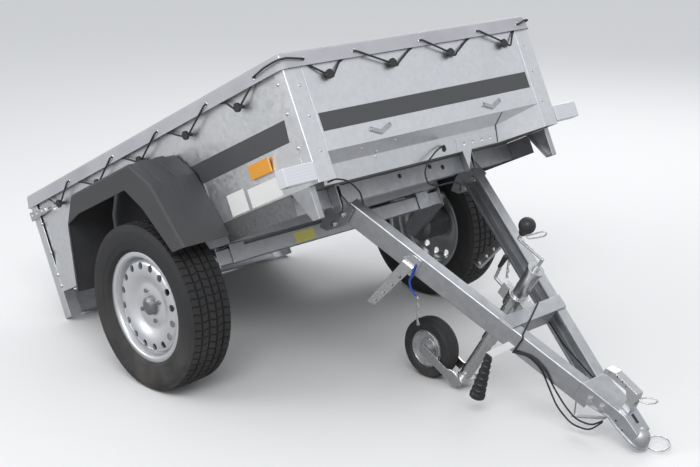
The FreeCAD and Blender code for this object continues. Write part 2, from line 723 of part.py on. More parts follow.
def chosen_edges(feature, wanted):
    """Names of the edges of a feature whose middle passes a test."""
    doc.recompute()
    names = []
    for index, edge in enumerate(feature.Shape.Edges, start=1):
        middle_point = edge.valueAt((edge.FirstParameter + edge.LastParameter) / 2)
        if wanted(edge, middle_point):
            names.append("Edge%d" % index)
    return names


def round_edges(body, feature, wanted, radius):
    """Rounds the chosen edges of a body's last feature."""
    names = chosen_edges(feature, wanted)
    fillet = body.newObject("PartDesign::Fillet", body.Name + "_round")
    fillet.Base = (feature, names)
    fillet.Radius = as_size(radius).value
    bind(fillet, "Radius", radius)
    return fillet


def make_mudguard(name, side):
    """Moulded arch over the wheel: a ribbed shell, open below, inside and at the wheel."""
    body = new_body("mudguard_" + name, BOX)
    centre = -S.wheel_place + S.guard_shift
    start = half_width + S.seat_gap
    width = S.tyre_gap + S.tyre_width + S.guard_cover
    place = (start + width / 2) * side
    foot = -S.guard_foot
    outline = [(centre + S.guard_half_foot, foot),
               (centre + S.guard_half_shoulder, S.guard_shoulder),
               (centre + S.guard_half_top, S.guard_top),
               (centre - S.guard_half_top, S.guard_top),
               (centre - S.guard_half_shoulder, S.guard_shoulder),
               (centre - S.guard_half_foot, foot)]
    arch = pad_polygon(body, "XZ_Plane", place, outline, width)
    outer_face = float(start + width) * side
    low = float(foot)

    def across_arch(edge, point):
        return abs(abs(point.y) - abs(float(place))) < 1 and point.z > low + 1

    bent = round_edges(body, arch, across_arch, S.guard_bend)

    def on_rim(edge, point):
        return abs(point.y - outer_face) < 0.01 and point.z > low + 1

    round_edges(body, bent, on_rim, S.guard_round)
    wall = S.guard_sheet
    inner = [(centre + S.guard_half_foot - wall, foot - wall),
             (centre + S.guard_half_shoulder - wall, S.guard_shoulder),
             (centre + S.guard_half_top - wall / 2, S.guard_top - wall),
             (centre - S.guard_half_top + wall / 2, S.guard_top - wall),
             (centre - S.guard_half_shoulder + wall, S.guard_shoulder),
             (centre - S.guard_half_foot + wall, foot - wall)]
    pocket_polygon(body, "XZ_Plane", place - wall * side, inner, width)
    make_guard_opening(body, centre, start + width, foot, side, width)
    make_guard_ribs(body, centre, place, side)


def make_guard_opening(body, centre, outer, foot, side, width):
    """Cuts the arch's outer face open round the wheel."""
    wall = S.guard_sheet
    opening = [(centre + S.guard_half_foot - S.guard_flank, foot - wall),
               (centre + S.guard_half_shoulder - S.guard_flank * 1.2,
                S.guard_shoulder - S.guard_flank),
               (centre + S.guard_half_top - S.guard_flank, S.guard_top - S.guard_flank * 1.1),
               (centre - S.guard_half_top + S.guard_lip, S.guard_top - S.guard_flank * 1.1),
               (centre - S.guard_half_shoulder + S.guard_lip, S.guard_shoulder),
               (centre - S.guard_half_foot + S.guard_lip, foot - wall)]
    pocket_polygon(body, "XZ_Plane", outer * side, opening, width)


def make_guard_ribs(body, centre, place, side):
    """Two raised bands that run over the arch and down its front slope."""
    rise = S.guard_rib
    sink = S.guard_sheet / 2
    half_top = S.guard_half_top
    slope_end = (S.guard_half_shoulder + S.guard_half_foot) / 2
    slope_level = (S.guard_shoulder - S.guard_foot) / 2
    band = [(centre + slope_end - sink, slope_level),
            (centre + S.guard_half_shoulder + rise, S.guard_shoulder + rise),
            (centre + half_top, S.guard_top + rise), (centre - half_top / 2, S.guard_top + rise),
            (centre - half_top / 2 - rise * 3, S.guard_top - sink),
            (centre + half_top - sink, S.guard_top - sink),
            (centre + S.guard_half_shoulder - sink, S.guard_shoulder)]
    for step in (-0.5, 0.5):
        pad_polygon(body, "XZ_Plane", place + S.guard_rib_pitch * step, band, S.guard_rib_width)


# Lamps and reflectors

def make_reflectors():
    body = new_body("side_reflectors", BOX)
    half_long = S.reflector_length / 2
    half_high = S.reflector_height / 2
    plate = rectangle(-S.reflector_place - half_long, S.reflector_level - half_high,
                      -S.reflector_place + half_long, S.reflector_level + half_high)
    for side in (-1, 1):
        place = (half_width + S.seat_gap + S.reflector_depth / 2) * side
        pad_polygon(body, "XZ_Plane", place, plate, S.reflector_depth)


def make_marker_lamps():
    """White lamps that stand out sideways from the front posts."""
    body = new_body("marker_lamps", BOX)
    block = rectangle(-S.marker_back, S.marker_level, S.marker_depth - S.marker_back,
                      S.marker_level + S.marker_height)
    for side in (-1, 1):
        place = (half_width + S.seat_gap + S.marker_reach / 2) * side
        pad_polygon(body, "XZ_Plane", place, block, S.marker_reach)


def make_light_bar():
    """Folded bar between the rear posts that carries the tail lamps."""
    body = new_body("light_bar", BOX)
    back = -S.box_length
    low = -S.rear_post_drop + S.bar_lift
    high = low + S.light_bar_height
    wall = S.post_sheet
    section = [(back, low), (back, high), (back + S.bar_fold, high), (back + S.bar_fold, high - wall),
               (back + wall, high - wall), (back + wall, low + wall),
               (back + S.bar_fold, low + wall), (back + S.bar_fold, low)]
    half = post_inner - S.seat_gap
    pad_polygon(body, "XZ_Plane", 0, section, half * 2)


def make_tail_lamps():
    body = new_body("tail_lamps", BOX)
    front = -S.box_length - S.seat_gap
    top = -S.lamp_top
    block = rectangle(front - S.lamp_depth, top - S.lamp_height, front, top)
    for side in (-1, 1):
        place = (post_inner - S.lamp_width / 2) * side
        pad_polygon(body, "XZ_Plane", place, block, S.lamp_width)


# Cover, hooks and lacing

cover_half = half_width + S.cover_gap + S.cover_sheet
cover_back = -S.box_length - S.cover_gap - S.cover_sheet
cover_front = S.cover_gap + S.cover_sheet
cover_level = S.wall_height + S.seat_gap
skirt_bottom = cover_level + S.cover_sheet - S.skirt_depth


def make_cover():
    """Flat tarpaulin with a skirt down the front and both sides."""
    body = new_body("cover", BOX)
    outline = rectangle(cover_back, -cover_half, cover_front, cover_half)
    top = cover_level + S.cover_sheet
    pad_polygon(body, "XY_Plane", top - S.skirt_depth / 2, outline, S.skirt_depth)
    hollow = rectangle(cover_back - S.cover_sheet, -(cover_half - S.cover_sheet),
                       cover_front - S.cover_sheet, cover_half - S.cover_sheet)
    depth = S.skirt_depth - S.cover_sheet
    pocket_polygon(body, "XY_Plane", cover_level - depth / 2, hollow, depth)


def make_cover_flap():
    """The cover's rear skirt, in front of the tailgate."""
    body = new_body("cover_rear_flap", BOX)
    outline = rectangle(cover_back, skirt_bottom, cover_back + S.cover_sheet,
                        cover_level - S.seat_gap)
    pad_polygon(body, "XZ_Plane", 0, outline, (cover_half - S.cover_sheet - S.seat_gap) * 2)


def knob_places(count, pitch, middle_place):
    return [middle_place + (index - (count - 1) / 2) * pitch for index in range(count)]


side_pitch = (S.box_length - S.knob_margin_side * 2) / (S.side_knobs - 1)
end_pitch = (S.box_width - S.knob_margin_end * 2) / (S.end_knobs - 1)
SIDE_KNOBS = knob_places(int(float(S.side_knobs)), side_pitch, -S.box_length / 2)
END_KNOBS = knob_places(int(float(S.end_knobs)), end_pitch, as_size(0))
cord_offset = S.cover_gap + S.cover_sheet + S.seat_gap + S.cord_radius


def make_side_hooks(name, side):
    """Round-headed lacing knobs on stems, riveted to the side wall."""
    body = new_body("lacing_knobs_" + name, BOX)
    face = half_width - S.wall_inset + S.seat_gap
    shoulder = half_width + cord_offset + S.cord_radius + S.seat_gap
    stems = [(place, S.knob_level, S.knob_stem) for place in SIDE_KNOBS]
    heads = [(place, S.knob_level, S.knob_head) for place in SIDE_KNOBS]
    pad_circles(body, "XZ_Plane", (face + shoulder) / 2 * side, stems, shoulder - face)
    pad_circles(body, "XZ_Plane", (shoulder + S.knob_cap / 2) * side, heads, S.knob_cap)


def make_end_hooks(name, end):
    """The same knobs on the front wall or on the tailgate."""
    body = new_body("lacing_knobs_" + name, BOX)
    outward = 1 if end == 0 else -1
    face = S.seat_gap * outward - S.box_length * end
    shoulder = (cord_offset + S.cord_radius + S.seat_gap) * outward - S.box_length * end
    stems = [(place, S.knob_level, S.knob_stem) for place in END_KNOBS]
    heads = [(place, S.knob_level, S.knob_head) for place in END_KNOBS]
    pad_circles(body, "YZ_Plane", (face + shoulder) / 2, stems, (shoulder - face) * outward)
    pad_circles(body, "YZ_Plane", shoulder + S.knob_cap / 2 * outward, heads, S.knob_cap)


def place_body_shape(name, shape, placement):
    feature = doc.addObject("Part::Feature", name)
    feature.Label = name
    feature.Shape = shape
    TREE.append((feature, placement))


def zigzag(knobs, first, last, low, high):
    """Heights and places of a cord laced between eyelets and knobs."""
    route = [(first, high)]
    for index, knob in enumerate(knobs):
        route.append((float(knob), low))
        following = (float(knobs[index + 1]) if index + 1 < len(knobs) else last)
        eyelet = (float(knob) + following) / 2 if index + 1 < len(knobs) else last
        route.append((eyelet, high))
    return route


def mitred_cord(points, radius):
    """A round cord along straight runs with mitred turns."""
    path = Part.makePolygon([Vector(*point) for point in points])
    direction = path.Edges[0].tangentAt(path.Edges[0].FirstParameter)
    ring = Part.Wire(Part.Circle(Vector(*points[0]), direction, radius).toShape())
    return path.makePipeShell([ring], True, False, 1)


def make_lacing():
    """Elastic cord laced round both sides and the front, and one run at the rear."""
    low = float(S.knob_level - (S.knob_stem + S.cord_radius + S.seat_gap * 2) * 1.2)
    high = float(S.eyelet_level)
    out = float(half_width + cord_offset)
    front = float(cord_offset)
    inset = float(S.lacing_inset)
    side_route = zigzag(SIDE_KNOBS[::-1], -inset, -float(S.box_length) + inset, low, high)
    corner = float(half_width - S.lacing_end_inset)
    front_route = zigzag(END_KNOBS, -corner, corner, low, high)
    right = [(along, -out, up) for along, up in reversed(side_route)]
    ahead = [(front, across, up) for across, up in front_route]
    left = [(along, out, up) for along, up in side_route]
    round_front = right + [(front, -out, high)] + ahead + [(front, out, high)] + left
    place_body_shape("lacing", mitred_cord(round_front, float(S.cord_radius)), BOX)
    back = -float(S.box_length) - front
    rear = [(back, across, up) for across, up in front_route]
    place_body_shape("lacing_rear", mitred_cord(rear, float(S.cord_radius)), BOX)


# Tailgate

def make_tailgate():
    """Pressed tray panel between the rear posts, hinged at its lower edge."""
    body = new_body("tailgate", BOX)
    half = post_inner - S.gate_gap
    back = -S.box_length
    top = S.wall_height - S.gate_gap
    face = rectangle(back, S.gate_bottom, back + S.gate_depth, top)
    pad_polygon(body, "XZ_Plane", 0, face, half * 2)
    wall = S.sheet
    tray = rectangle(back + wall, S.gate_bottom + wall, back + S.gate_depth + wall, top - wall)
    pocket_polygon(body, "XZ_Plane", 0, tray, (half - wall) * 2)
    barrel = [(gate_pin_across, gate_pin_up, S.gate_knuckle)]
    for side in (-1, 1):
        place = gate_hinge_half * side
        pad_circles(body, "XZ_Plane", place, barrel, S.gate_knuckle_length)
    bore = [(gate_pin_across, gate_pin_up, S.gate_pin + S.pin_play)]
    pocket_circles(body, "XZ_Plane", 0, bore, S.box_width)


gate_hinge_half = post_inner - S.lamp_width - S.gate_hinge_set
gate_pin_across = -S.box_length - S.gate_pin_back
gate_pin_up = S.gate_bottom + S.gate_knuckle


def make_gate_hinges():
    """Ears on the light bar with the pins the tailgate turns on."""
    body = new_body("tailgate_hinges", BOX)
    base = -S.lamp_top + S.ear_thickness
    back = -S.box_length - S.seat_gap
    strap = rectangle(gate_pin_across - S.gate_ear, base - S.gate_strap, back, base)
    ear = rectangle(gate_pin_across - S.gate_ear, base, gate_pin_across + S.gate_ear, gate_pin_up)
    tip = [(gate_pin_across, gate_pin_up, S.gate_ear)]
    half_span = S.gate_knuckle_length / 2 + S.ear_gap + S.ear_thickness / 2
    for side in (-1, 1):
        middle_place = gate_hinge_half * side
        pad_polygon(body, "XZ_Plane", middle_place, strap, half_span * 2 + S.ear_thickness)
        for step in (-1, 1):
            place = middle_place + half_span * step
            pad_polygon(body, "XZ_Plane", place, ear, S.ear_thickness)
            pad_circles(body, "XZ_Plane", place, tip, S.ear_thickness)
        pad_circles(body, "XZ_Plane", middle_place, [(gate_pin_across, gate_pin_up, S.gate_pin)],
                    half_span * 2)


def make_gate_latches():
    """Over-centre catches at the rear top corners of the box sides."""
    body = new_body("tailgate_latches", BOX)
    length = S.latch_length
    centre = -S.box_length + S.latch_place
    outline = [(centre - length / 2, S.latch_level - S.latch_height / 2),
               (centre + length / 2, S.latch_level - S.latch_height / 4),
               (centre + length / 2, S.latch_level + S.latch_height / 4),
               (centre - length / 2, S.latch_level + S.latch_height / 2)]
    for side in (-1, 1):
        place = (half_width + S.seat_gap + S.latch_depth / 2) * side
        pad_polygon(body, "XZ_Plane", place, outline, S.latch_depth)


# Drawbar

beam_line = hinge_half - S.plate_thickness / 2 - S.seat_gap
beam_yaw = math.atan2(float(beam_line - S.nose_half), float(S.beam_end - S.beam_start))
beam_slope = (beam_line - S.nose_half) / (S.beam_end - S.beam_start)


def beam_outer(place):
    """Distance of a beam's outer face from the middle, at a place along the drawbar."""
    return beam_line - (place - S.beam_start) * beam_slope


def face_sketch(body, side, out):
    """A sketch parallel to a beam's outer face: along the beam from its start, and up."""
    reach = (beam_line + as_size(out)) * side
    sketch = new_sketch(body, "XZ_Plane", reach)
    turn = math.degrees(beam_yaw) * side
    origin = Vector(float(S.beam_start), 0, -float(reach))
    sketch.AttachmentOffset = Placement(origin, Rotation(Vector(0, 1, 0), -turn))
    return sketch


def pad_on_face(body, side, corners, depth, kind="Pad", base=0):
    """A plate on a beam's outer face, its inner side a given distance out from it."""
    sketch = face_sketch(body, side, as_size(base) + depth / 2)
    add_polygon(sketch, corners)
    return extrude(body, kind, sketch, depth)


def make_beam(name, side):
    """A lipped channel, open towards the middle of the drawbar."""
    frame = DRAWBAR.multiply(Placement(
        Vector(float(S.beam_start), float(beam_line) * side, 0),
        Rotation(Vector(0, 0, 1), -math.degrees(beam_yaw) * side)))
    body = new_body("drawbar_beam_" + name, frame)
    top = S.beam_rise + S.beam_height / 2
    bottom = S.beam_rise - S.beam_height / 2
    flange = S.beam_flange
    wall = S.beam_wall
    lip = S.beam_lip
    section = [(0, bottom), (0, top), (-flange, top), (-flange, top - lip),
               (-flange + wall, top - lip), (-flange + wall, top - wall), (-wall, top - wall),
               (-wall, bottom + wall), (-flange + wall, bottom + wall),
               (-flange + wall, bottom + lip), (-flange, bottom + lip), (-flange, bottom)]
    length = (S.beam_end - S.beam_start) / math.cos(beam_yaw)
    corners = [(across * side, up) for across, up in section]
    pad_polygon(body, "YZ_Plane", length / 2, corners, length)


def make_hinge_plate(name, side):
    """Heeled plate on the beam's rear end, turning on the hinge pin."""
    body = new_body("hinge_plate_" + name, DRAWBAR)
    top = S.beam_rise + S.beam_height / 2 - S.beam_wall
    bottom = S.beam_rise - S.beam_height / 2
    heel = S.heel_drop
    outline = [(-S.heel_back, S.heel_top), (0, top), (S.heel_front, top), (S.heel_front, bottom),
               (S.heel_toe, -heel + S.heel_cut), (-S.heel_back * 0.7, -heel),
               (-S.heel_back, -heel * 0.6)]
    place = hinge_half * side
    pad_polygon(body, "XZ_Plane", place, outline, S.plate_thickness)
    pocket_circles(body, "XZ_Plane", place, [(0, 0, S.hinge_pin + S.pin_play)], S.box_width)


def make_bridge():
    """Folded cross-piece over the beams that carries the jockey wheel's clamp."""
    body = new_body("drawbar_bridge", DRAWBAR)
    top = S.beam_rise + S.beam_height / 2 + S.seat_gap
    front = S.bridge_place + S.bridge_width / 2
    back = S.bridge_place - S.bridge_width / 2
    wall = S.bridge_wall
    plate = [(back, -beam_outer(back)), (front, -beam_outer(front)),
             (front, beam_outer(front)), (back, beam_outer(back))]
    pad_polygon(body, "XY_Plane", top + wall / 2, plate, wall)
    depth = S.beam_height * 0.8
    inner = S.beam_flange / math.cos(beam_yaw) + S.gate_gap
    for place in (back + wall / 2, front - wall / 2):
        half = beam_outer(place + wall) - inner
        web = rectangle(place - wall / 2, top - depth, place + wall / 2, top)
        pad_polygon(body, "XZ_Plane", 0, web, half * 2)


def make_coupling():
    """Pressed ball coupling: a waisted channel over the beam ends, with a rolled lower
    edge that runs round a domed socket."""
    body = new_body("coupling", DRAWBAR)
    roof = S.beam_rise + S.beam_height / 2 + S.seat_gap + S.coupling_wall
    bottom = S.beam_rise - S.beam_height / 2 + S.coupling_lift
    ball_up = S.beam_rise + S.ball_lift
    mouth = ball_up - S.socket_depth
    gap = S.seat_gap * 2
    end_half = beam_outer(S.beam_end) + gap
    throat_half = S.dome_radius - S.coupling_wall / 2
    neck_half = (end_half + throat_half) / 2
    stations = [(S.coupling_start, beam_outer(S.coupling_start) + gap, bottom, roof),
                (S.beam_end, end_half, bottom + S.lip_depth, roof),
                (S.neck_place, neck_half, S.neck_low, S.neck_high),
                (S.throat_place, throat_half, S.throat_low, S.neck_high),
                (S.ball_place, S.dome_radius - S.coupling_wall, mouth, ball_up + S.dome_radius * 0.8)]
    wall = S.coupling_wall
    lip = S.lip_radius - S.dome_radius

    def shell(half, low, high):
        return rectangle(-half - wall, low, half + wall, high)

    def hollow(half, low, high):
        return rectangle(-half, low - wall, half, high - wall)

    def rolled_edge(half, low, high):
        return rectangle(-half - wall - lip, low, half + wall + lip, low + S.lip_depth)

    for kind, outline, start in (("AdditiveLoft", shell, 0), ("AdditiveLoft", rolled_edge, 1),
                                 ("SubtractiveLoft", hollow, 0)):
        sketches = []
        for place, half, low, high in stations[start:]:
            sketch = new_sketch(body, "YZ_Plane", place)
            add_polygon(sketch, outline(half, low, high))
            sketches.append(sketch)
        loft = body.newObject("PartDesign::" + kind, "coupling_" + kind.lower())
        loft.Profile = sketches[0]
        loft.Sections = sketches[1:]
        loft.Ruled = True
    make_dome(body, ball_up)


def turned_about_z(body, corners, across, level, kind="Revolution"):
    """Revolves an outline given as radius and height about a vertical line."""
    sketch = body.newObject("Sketcher::SketchObject", body.Name + "_profile")
    support = [part for part in body.Origin.OriginFeatures if part.Role == "XZ_Plane"][0]
    sketch.AttachmentSupport = [(support, "")]
    sketch.MapMode = "FlatFace"
    sketch.AttachmentOffset = Placement(Vector(float(across), float(level), 0), Rotation())
    bind(sketch, "AttachmentOffset.Base.x", across)
    bind(sketch, "AttachmentOffset.Base.y", level)
    add_polygon(sketch, corners)
    feature = body.newObject("PartDesign::" + kind, body.Name + "_turned")
    feature.Profile = sketch
    feature.ReferenceAxis = (sketch, ["V_Axis"])
    feature.Angle = 360
    return feature


def arc_outline(radius, first_degrees, last_degrees, steps):
    """Points of a round section as radius and height, as fractions of a size."""
    points = []
    for step in range(steps + 1):
        angle = math.radians(first_degrees + (last_degrees - first_degrees) * step / steps)
        points.append((radius * math.cos(angle), radius * math.sin(angle)))
    return points


def make_dome(body, ball_up):
    """The coupling's socket: a dome with a rolled lip, hollowed to seat a ball."""
    lip_low = -S.socket_depth
    outer = arc_outline(S.dome_radius, 0, 90, 12)
    outside = [(0, lip_low), (S.lip_radius, lip_low), (S.lip_radius, lip_low + S.lip_depth),
               (S.dome_radius, lip_low + S.lip_depth)] + outer[:-1] + [(0, S.dome_radius)]
    turned_about_z(body, outside, S.ball_place, ball_up)
    seat = S.ball_radius + S.ball_play
    inner = arc_outline(seat, 0, 90, 12)
    inside = [(0, lip_low - S.lip_depth), (seat, lip_low - S.lip_depth)] + inner[:-1] + [(0, seat)]
    turned_about_z(body, inside, S.ball_place, ball_up, "Groove")


def make_coupling_handle():
    """The coupling's pressed lever: a channel that stands on the roof and bends back."""
    body = new_body("coupling_handle", DRAWBAR)
    low = S.neck_high + S.seat_gap
    top = low + S.lever_rise
    front = (S.neck_place + S.throat_place) / 2 + S.lever_root / 2
    back = front - S.lever_root
    rear = front - S.lever_reach - S.lever_root / 2
    grip = S.lever_grip
    outline = [(front, low), (front - S.lever_round, top - S.lever_root),
               (front - S.lever_root / 2, top), (rear + grip, top - S.lever_round),
               (rear, top - S.lever_round * 3), (rear, top - grip - S.lever_round * 2),
               (rear + grip, top - grip), (back - S.lever_round * 3, top - grip / 2 - S.lever_round),
               (back, top - grip - S.lever_round * 2), (back, low)]
    lever = pad_polygon(body, "XZ_Plane", 0, outline, S.lever_width)

    def upright_corner(edge, point):
        return abs(point.y) < 0.01 and point.z > float(low) + 5

    round_edges(body, lever, upright_corner, S.lever_round - 1)
    trough = [(rear + S.lever_sheet, low + S.lever_rise / 4), (rear + S.lever_sheet, top - grip),
              (front - S.lever_root / 2 - S.lever_sheet, top - S.lever_sheet * 3),
              (front - S.lever_sheet * 2, top - S.lever_root),
              (front - S.lever_sheet, low - S.lever_sheet), (rear + grip, low - S.lever_sheet)]
    pocket_polygon(body, "XZ_Plane", 0, trough, S.lever_width - S.lever_sheet * 2)


# Jockey wheel

def ring_pad(body, plane, place, across, up, outer, inner, length):
    """A short tube: a ring sketch padded to a length."""
    sketch = new_sketch(body, plane, place)
    add_circle(sketch, across, up, outer)
    add_circle(sketch, across, up, inner)
    return extrude(body, "Pad", sketch, length)


def make_jockey_sleeve():
    """The outer tube held in the clamp, with its cap."""
    body = new_body("jockey_sleeve", DRAWBAR)
    top = S.jockey_top
    bottom = top - S.jockey_sleeve
    ring_pad(body, "XY_Plane", (top + bottom) / 2, S.jockey_place, 0, S.jockey_outer,
             S.jockey_outer - S.jockey_wall, S.jockey_sleeve)
    pad_circles(body, "XY_Plane", top + S.jockey_cap / 2,
                [(S.jockey_place, 0, S.jockey_outer + S.jockey_wall)], S.jockey_cap)


def make_jockey_crank():
    """Bent crank on the sleeve's cap, with its threaded boss and a ball-shaped grip."""
    body = new_body("jockey_crank", DRAWBAR)
    level = S.jockey_top + S.jockey_cap + S.seat_gap
    pad_circles(body, "XY_Plane", level + S.crank_boss_height / 2,
                [(S.jockey_place, 0, S.crank_boss)], S.crank_boss_height)
    arm_level = level + S.crank_rise
    grip_place = S.jockey_place - S.crank_throw
    bent_rod(body, [(S.jockey_place, level + S.crank_boss_height / 2), (S.jockey_place, arm_level),
                    (grip_place, arm_level - S.crank_boss), (grip_place, arm_level + S.knob_neck)],
             S.crank_rod)
    ball = arc_outline(S.knob_ball, -50, 90, 10)
    foot = S.knob_height * -0.8
    outline = [(0, foot), (S.knob_neck, foot)] + ball[:-1] + [(0, S.knob_ball)]
    turned_about_z(body, outline, grip_place, arm_level + S.knob_height)


def make_jockey_clamp():
    """Split clamp round the sleeve, bolted to the bridge, with its screw handle."""
    body = new_body("jockey_clamp", DRAWBAR)
    level = S.beam_rise + S.beam_height / 2 - S.clamp_height / 2
    outer = S.jockey_outer + S.seat_gap + S.clamp_wall
    ring_pad(body, "XY_Plane", level, S.jockey_place, 0, outer, S.jockey_outer + S.seat_gap,
             S.clamp_height)
    back = S.bridge_place - S.bridge_width / 2 - S.seat_gap
    start = S.jockey_place + S.jockey_outer + S.clamp_wall / 2
    block = rectangle(start, -S.clamp_height / 2, back, S.clamp_height / 2)
    pad_polygon(body, "XY_Plane", level, block, S.clamp_height)
    ear_start = S.jockey_place - outer + S.clamp_wall / 2
    ear = rectangle(ear_start - S.clamp_ear, -S.clamp_wall * 1.5, ear_start, S.clamp_wall * 1.5)
    pad_polygon(body, "XY_Plane", level, ear, S.clamp_height)
    screw_start = ear_start - S.clamp_ear / 2
    bar = screw_start - S.clamp_screw
    bent_rod(body, [(screw_start, level), (bar, level), (bar - S.clamp_wall, level + S.clamp_bar)],
             S.crank_rod)
    grip_foot = level + S.clamp_bar - S.clamp_grip / 2
    grip = arc_outline(S.clamp_grip_radius, 0, 90, 6)
    outline = [(0, -S.clamp_grip), (S.clamp_grip_radius * 0.7, -S.clamp_grip)] + grip[:-1]
    outline.append((0, S.clamp_grip_radius))
    turned_about_z(body, outline, bar - S.clamp_wall, grip_foot + S.clamp_grip)


def make_jockey_leg():
    """The inner tube, which slides in the sleeve and carries the arm."""
    body = new_body("jockey_leg", DRAWBAR)
    low = leg_bottom
    high = S.jockey_top - S.jockey_travel - S.travel_spare
    outer = S.jockey_outer - S.jockey_wall - S.leg_play
    ring_pad(body, "XY_Plane", (low + high) / 2, S.jockey_place, 0, outer,
             outer - S.jockey_wall, high - low)


leg_bottom = as_size(jockey_axle_up) + S.jockey_arm_drop


def make_jockey_arm():
    """Swivelling trailing fork under the leg: pressed cheeks rounded at the axle."""
    body = new_body("jockey_arm", DRAWBAR)
    head = leg_bottom - S.seat_gap
    pad_circles(body, "XY_Plane", head - S.swivel_plate / 2,
                [(S.jockey_place, 0, S.jockey_outer)], S.swivel_plate)
    gap = S.jockey_tyre_width / 2 + S.gate_gap
    wall = S.jockey_fork_sheet
    axle_up = as_size(jockey_axle_up)
    axle_ahead = S.jockey_place - S.jockey_trail
    top = head - S.swivel_plate
    ahead = S.jockey_place + S.jockey_outer
    behind = S.jockey_place - S.jockey_outer
    end = S.cheek_end
    cheek = [(ahead, head), (ahead, top - S.cheek_depth),
             (ahead - S.jockey_outer, top - S.cheek_depth - end),
             (axle_ahead, axle_up - end), (axle_ahead, axle_up + end),
             (behind - S.jockey_outer, top - S.swivel_plate), (behind, head)]
    for side in (-1, 1):
        place = (gap + wall / 2) * side
        pad_polygon(body, "XZ_Plane", place, cheek, wall)
        pad_circles(body, "XZ_Plane", place, [(axle_ahead, axle_up, end)], wall)
    web = rectangle(behind, top - S.swivel_plate, ahead, top)
    pad_polygon(body, "XZ_Plane", 0, web, (gap + wall) * 2)
    pad_circles(body, "XZ_Plane", 0, [(axle_ahead, axle_up, S.jockey_axle)], (gap + wall) * 2)


def jockey_wheel_frame():
    return DRAWBAR.multiply(Placement(
        Vector(jockey_axle_ahead, 0, jockey_axle_up), Rotation()))


def make_jockey_wheel():
    """Pressed rim halves with a hub bore, and a solid rubber tyre."""
    rim = new_body("jockey_rim", jockey_wheel_frame())
    half = S.jockey_tyre_width / 2
    bore = S.jockey_axle + S.pin_play
    section = [(-half, bore), (-half, S.jockey_hub), (-S.jockey_disc, S.jockey_hub * 1.3),
               (-S.jockey_disc, S.jockey_rim - S.jockey_disc), (-half * 0.8, S.jockey_rim)]
    sketch = new_sketch(rim, "YZ_Plane", 0)
    add_polygon(sketch, section + mirrored(section))
    revolve(rim, sketch)
    tyre = new_body("jockey_tyre", jockey_wheel_frame())
    seat = S.jockey_rim + S.seat_gap
    shoulder = S.jockey_tyre - S.jockey_shoulder
    round_section = [(-half * 0.8, seat), (-half, seat + S.jockey_shoulder), (-half, shoulder),
                     (-half * 0.75, S.jockey_tyre - S.jockey_shoulder * 0.3),
                     (-half * 0.4, S.jockey_tyre)]
    outline = new_sketch(tyre, "YZ_Plane", 0)
    add_polygon(outline, round_section + mirrored(round_section))
    revolve(tyre, outline)


def make_catches():
    """Over-centre catches on the beams' outer faces: a hooked plate and a punched lever."""
    body = new_body("drawbar_catches", DRAWBAR)
    top = S.beam_rise + S.beam_height / 2 - S.beam_wall * 2
    centre = (S.catch_place - S.beam_start) / math.cos(beam_yaw)
    half = S.catch_plate_width / 2
    low = top - S.catch_plate_height
    grip = S.catch_width / 2
    plate = [(centre - half * 0.6, low), (centre + half, low), (centre + half, top),
             (centre - half * 0.1, top), (centre - half, top - S.catch_plate_height * 0.4)]
    foot_middle = centre - S.catch_slant
    foot = low - S.catch_lever
    head = low + S.catch_plate_height / 2
    lever = [(foot_middle - grip, foot), (foot_middle + grip, foot + S.catch_width * 0.3),
             (centre + grip * 1.3, head), (centre - grip * 1.3, head)]
    base = S.seat_gap
    for side in (-1, 1):
        pad_on_face(body, side, plate, S.catch_sheet, "Pad", base)
    for side in (-1, 1):
        pad_on_face(body, side, lever, S.catch_depth, "Pad", base + S.catch_sheet / 2)
    count = int(float(S.catch_holes))
    for side in (-1, 1):
        sketch = face_sketch(body, side, base + S.catch_depth / 2)
        for index in range(count):
            part_way = (index + 0.6) / count
            add_circle(sketch, foot_middle + S.catch_slant * part_way,
                       foot + S.catch_lever * part_way, S.catch_hole)
        extrude(body, "Pocket", sketch, S.catch_depth * 3)


def make_holder():
    """Strip on the right beam's outer face that the plug is parked under."""
    body = new_body("plug_holder", DRAWBAR)
    start = (S.holder_place - S.beam_start) / math.cos(beam_yaw)
    bottom = S.beam_rise - S.beam_height / 2
    high = bottom + S.holder_width
    slant = S.holder_slant
    low = high - S.holder_length
    strip = [(start, high), (start - S.holder_width, high), (start - S.holder_width - slant, low),
             (start - slant, low)]
    pad_on_face(body, -1, strip, S.holder_sheet, "Pad", S.seat_gap)


def plug_frame():
    """The parked plug hangs from the holder's lower end, nearly upright on the floor."""
    lean = math.radians(float(S.plug_lean))
    along = float(S.holder_place - S.holder_slant * math.cos(beam_yaw)
                  - S.holder_width / 2 * math.cos(beam_yaw))
    low = S.beam_rise - S.beam_height / 2 + S.holder_width - S.holder_length
    top = float(low - S.seat_gap) - float(S.plug_neck) * math.sin(lean)
    out = float(beam_outer(along)) + float(S.seat_gap + S.holder_sheet / 2) / math.cos(beam_yaw)
    turn = Rotation(Vector(0, 1, 0), -math.degrees(lean))
    return DRAWBAR.multiply(Placement(Vector(along, -out, top), turn))


def make_plug():
    """Moulded round plug with a ribbed, flared grip."""
    body = new_body("plug", plug_frame())
    neck = S.plug_neck
    step = S.plug_length / (S.plug_ribs * 2 + 2)
    count = int(float(S.plug_ribs))
    outline = [(0, 0), (neck, 0)]
    grow = (S.plug_radius - neck) / (count + 1)
    for index in range(count):
        radius = neck + grow * (index + 1)
        level = -step * (index * 2 + 1)
        outline += [(radius - S.plug_rib, level), (radius, level - step * 0.2),
                    (radius, level - step), (radius - S.plug_rib, level - step * 1.2)]
    outline += [(S.plug_radius, -S.plug_length + step), (S.plug_radius, -S.plug_length),
                (0, -S.plug_length)]
    turned_about_z(body, outline, 0, 0)


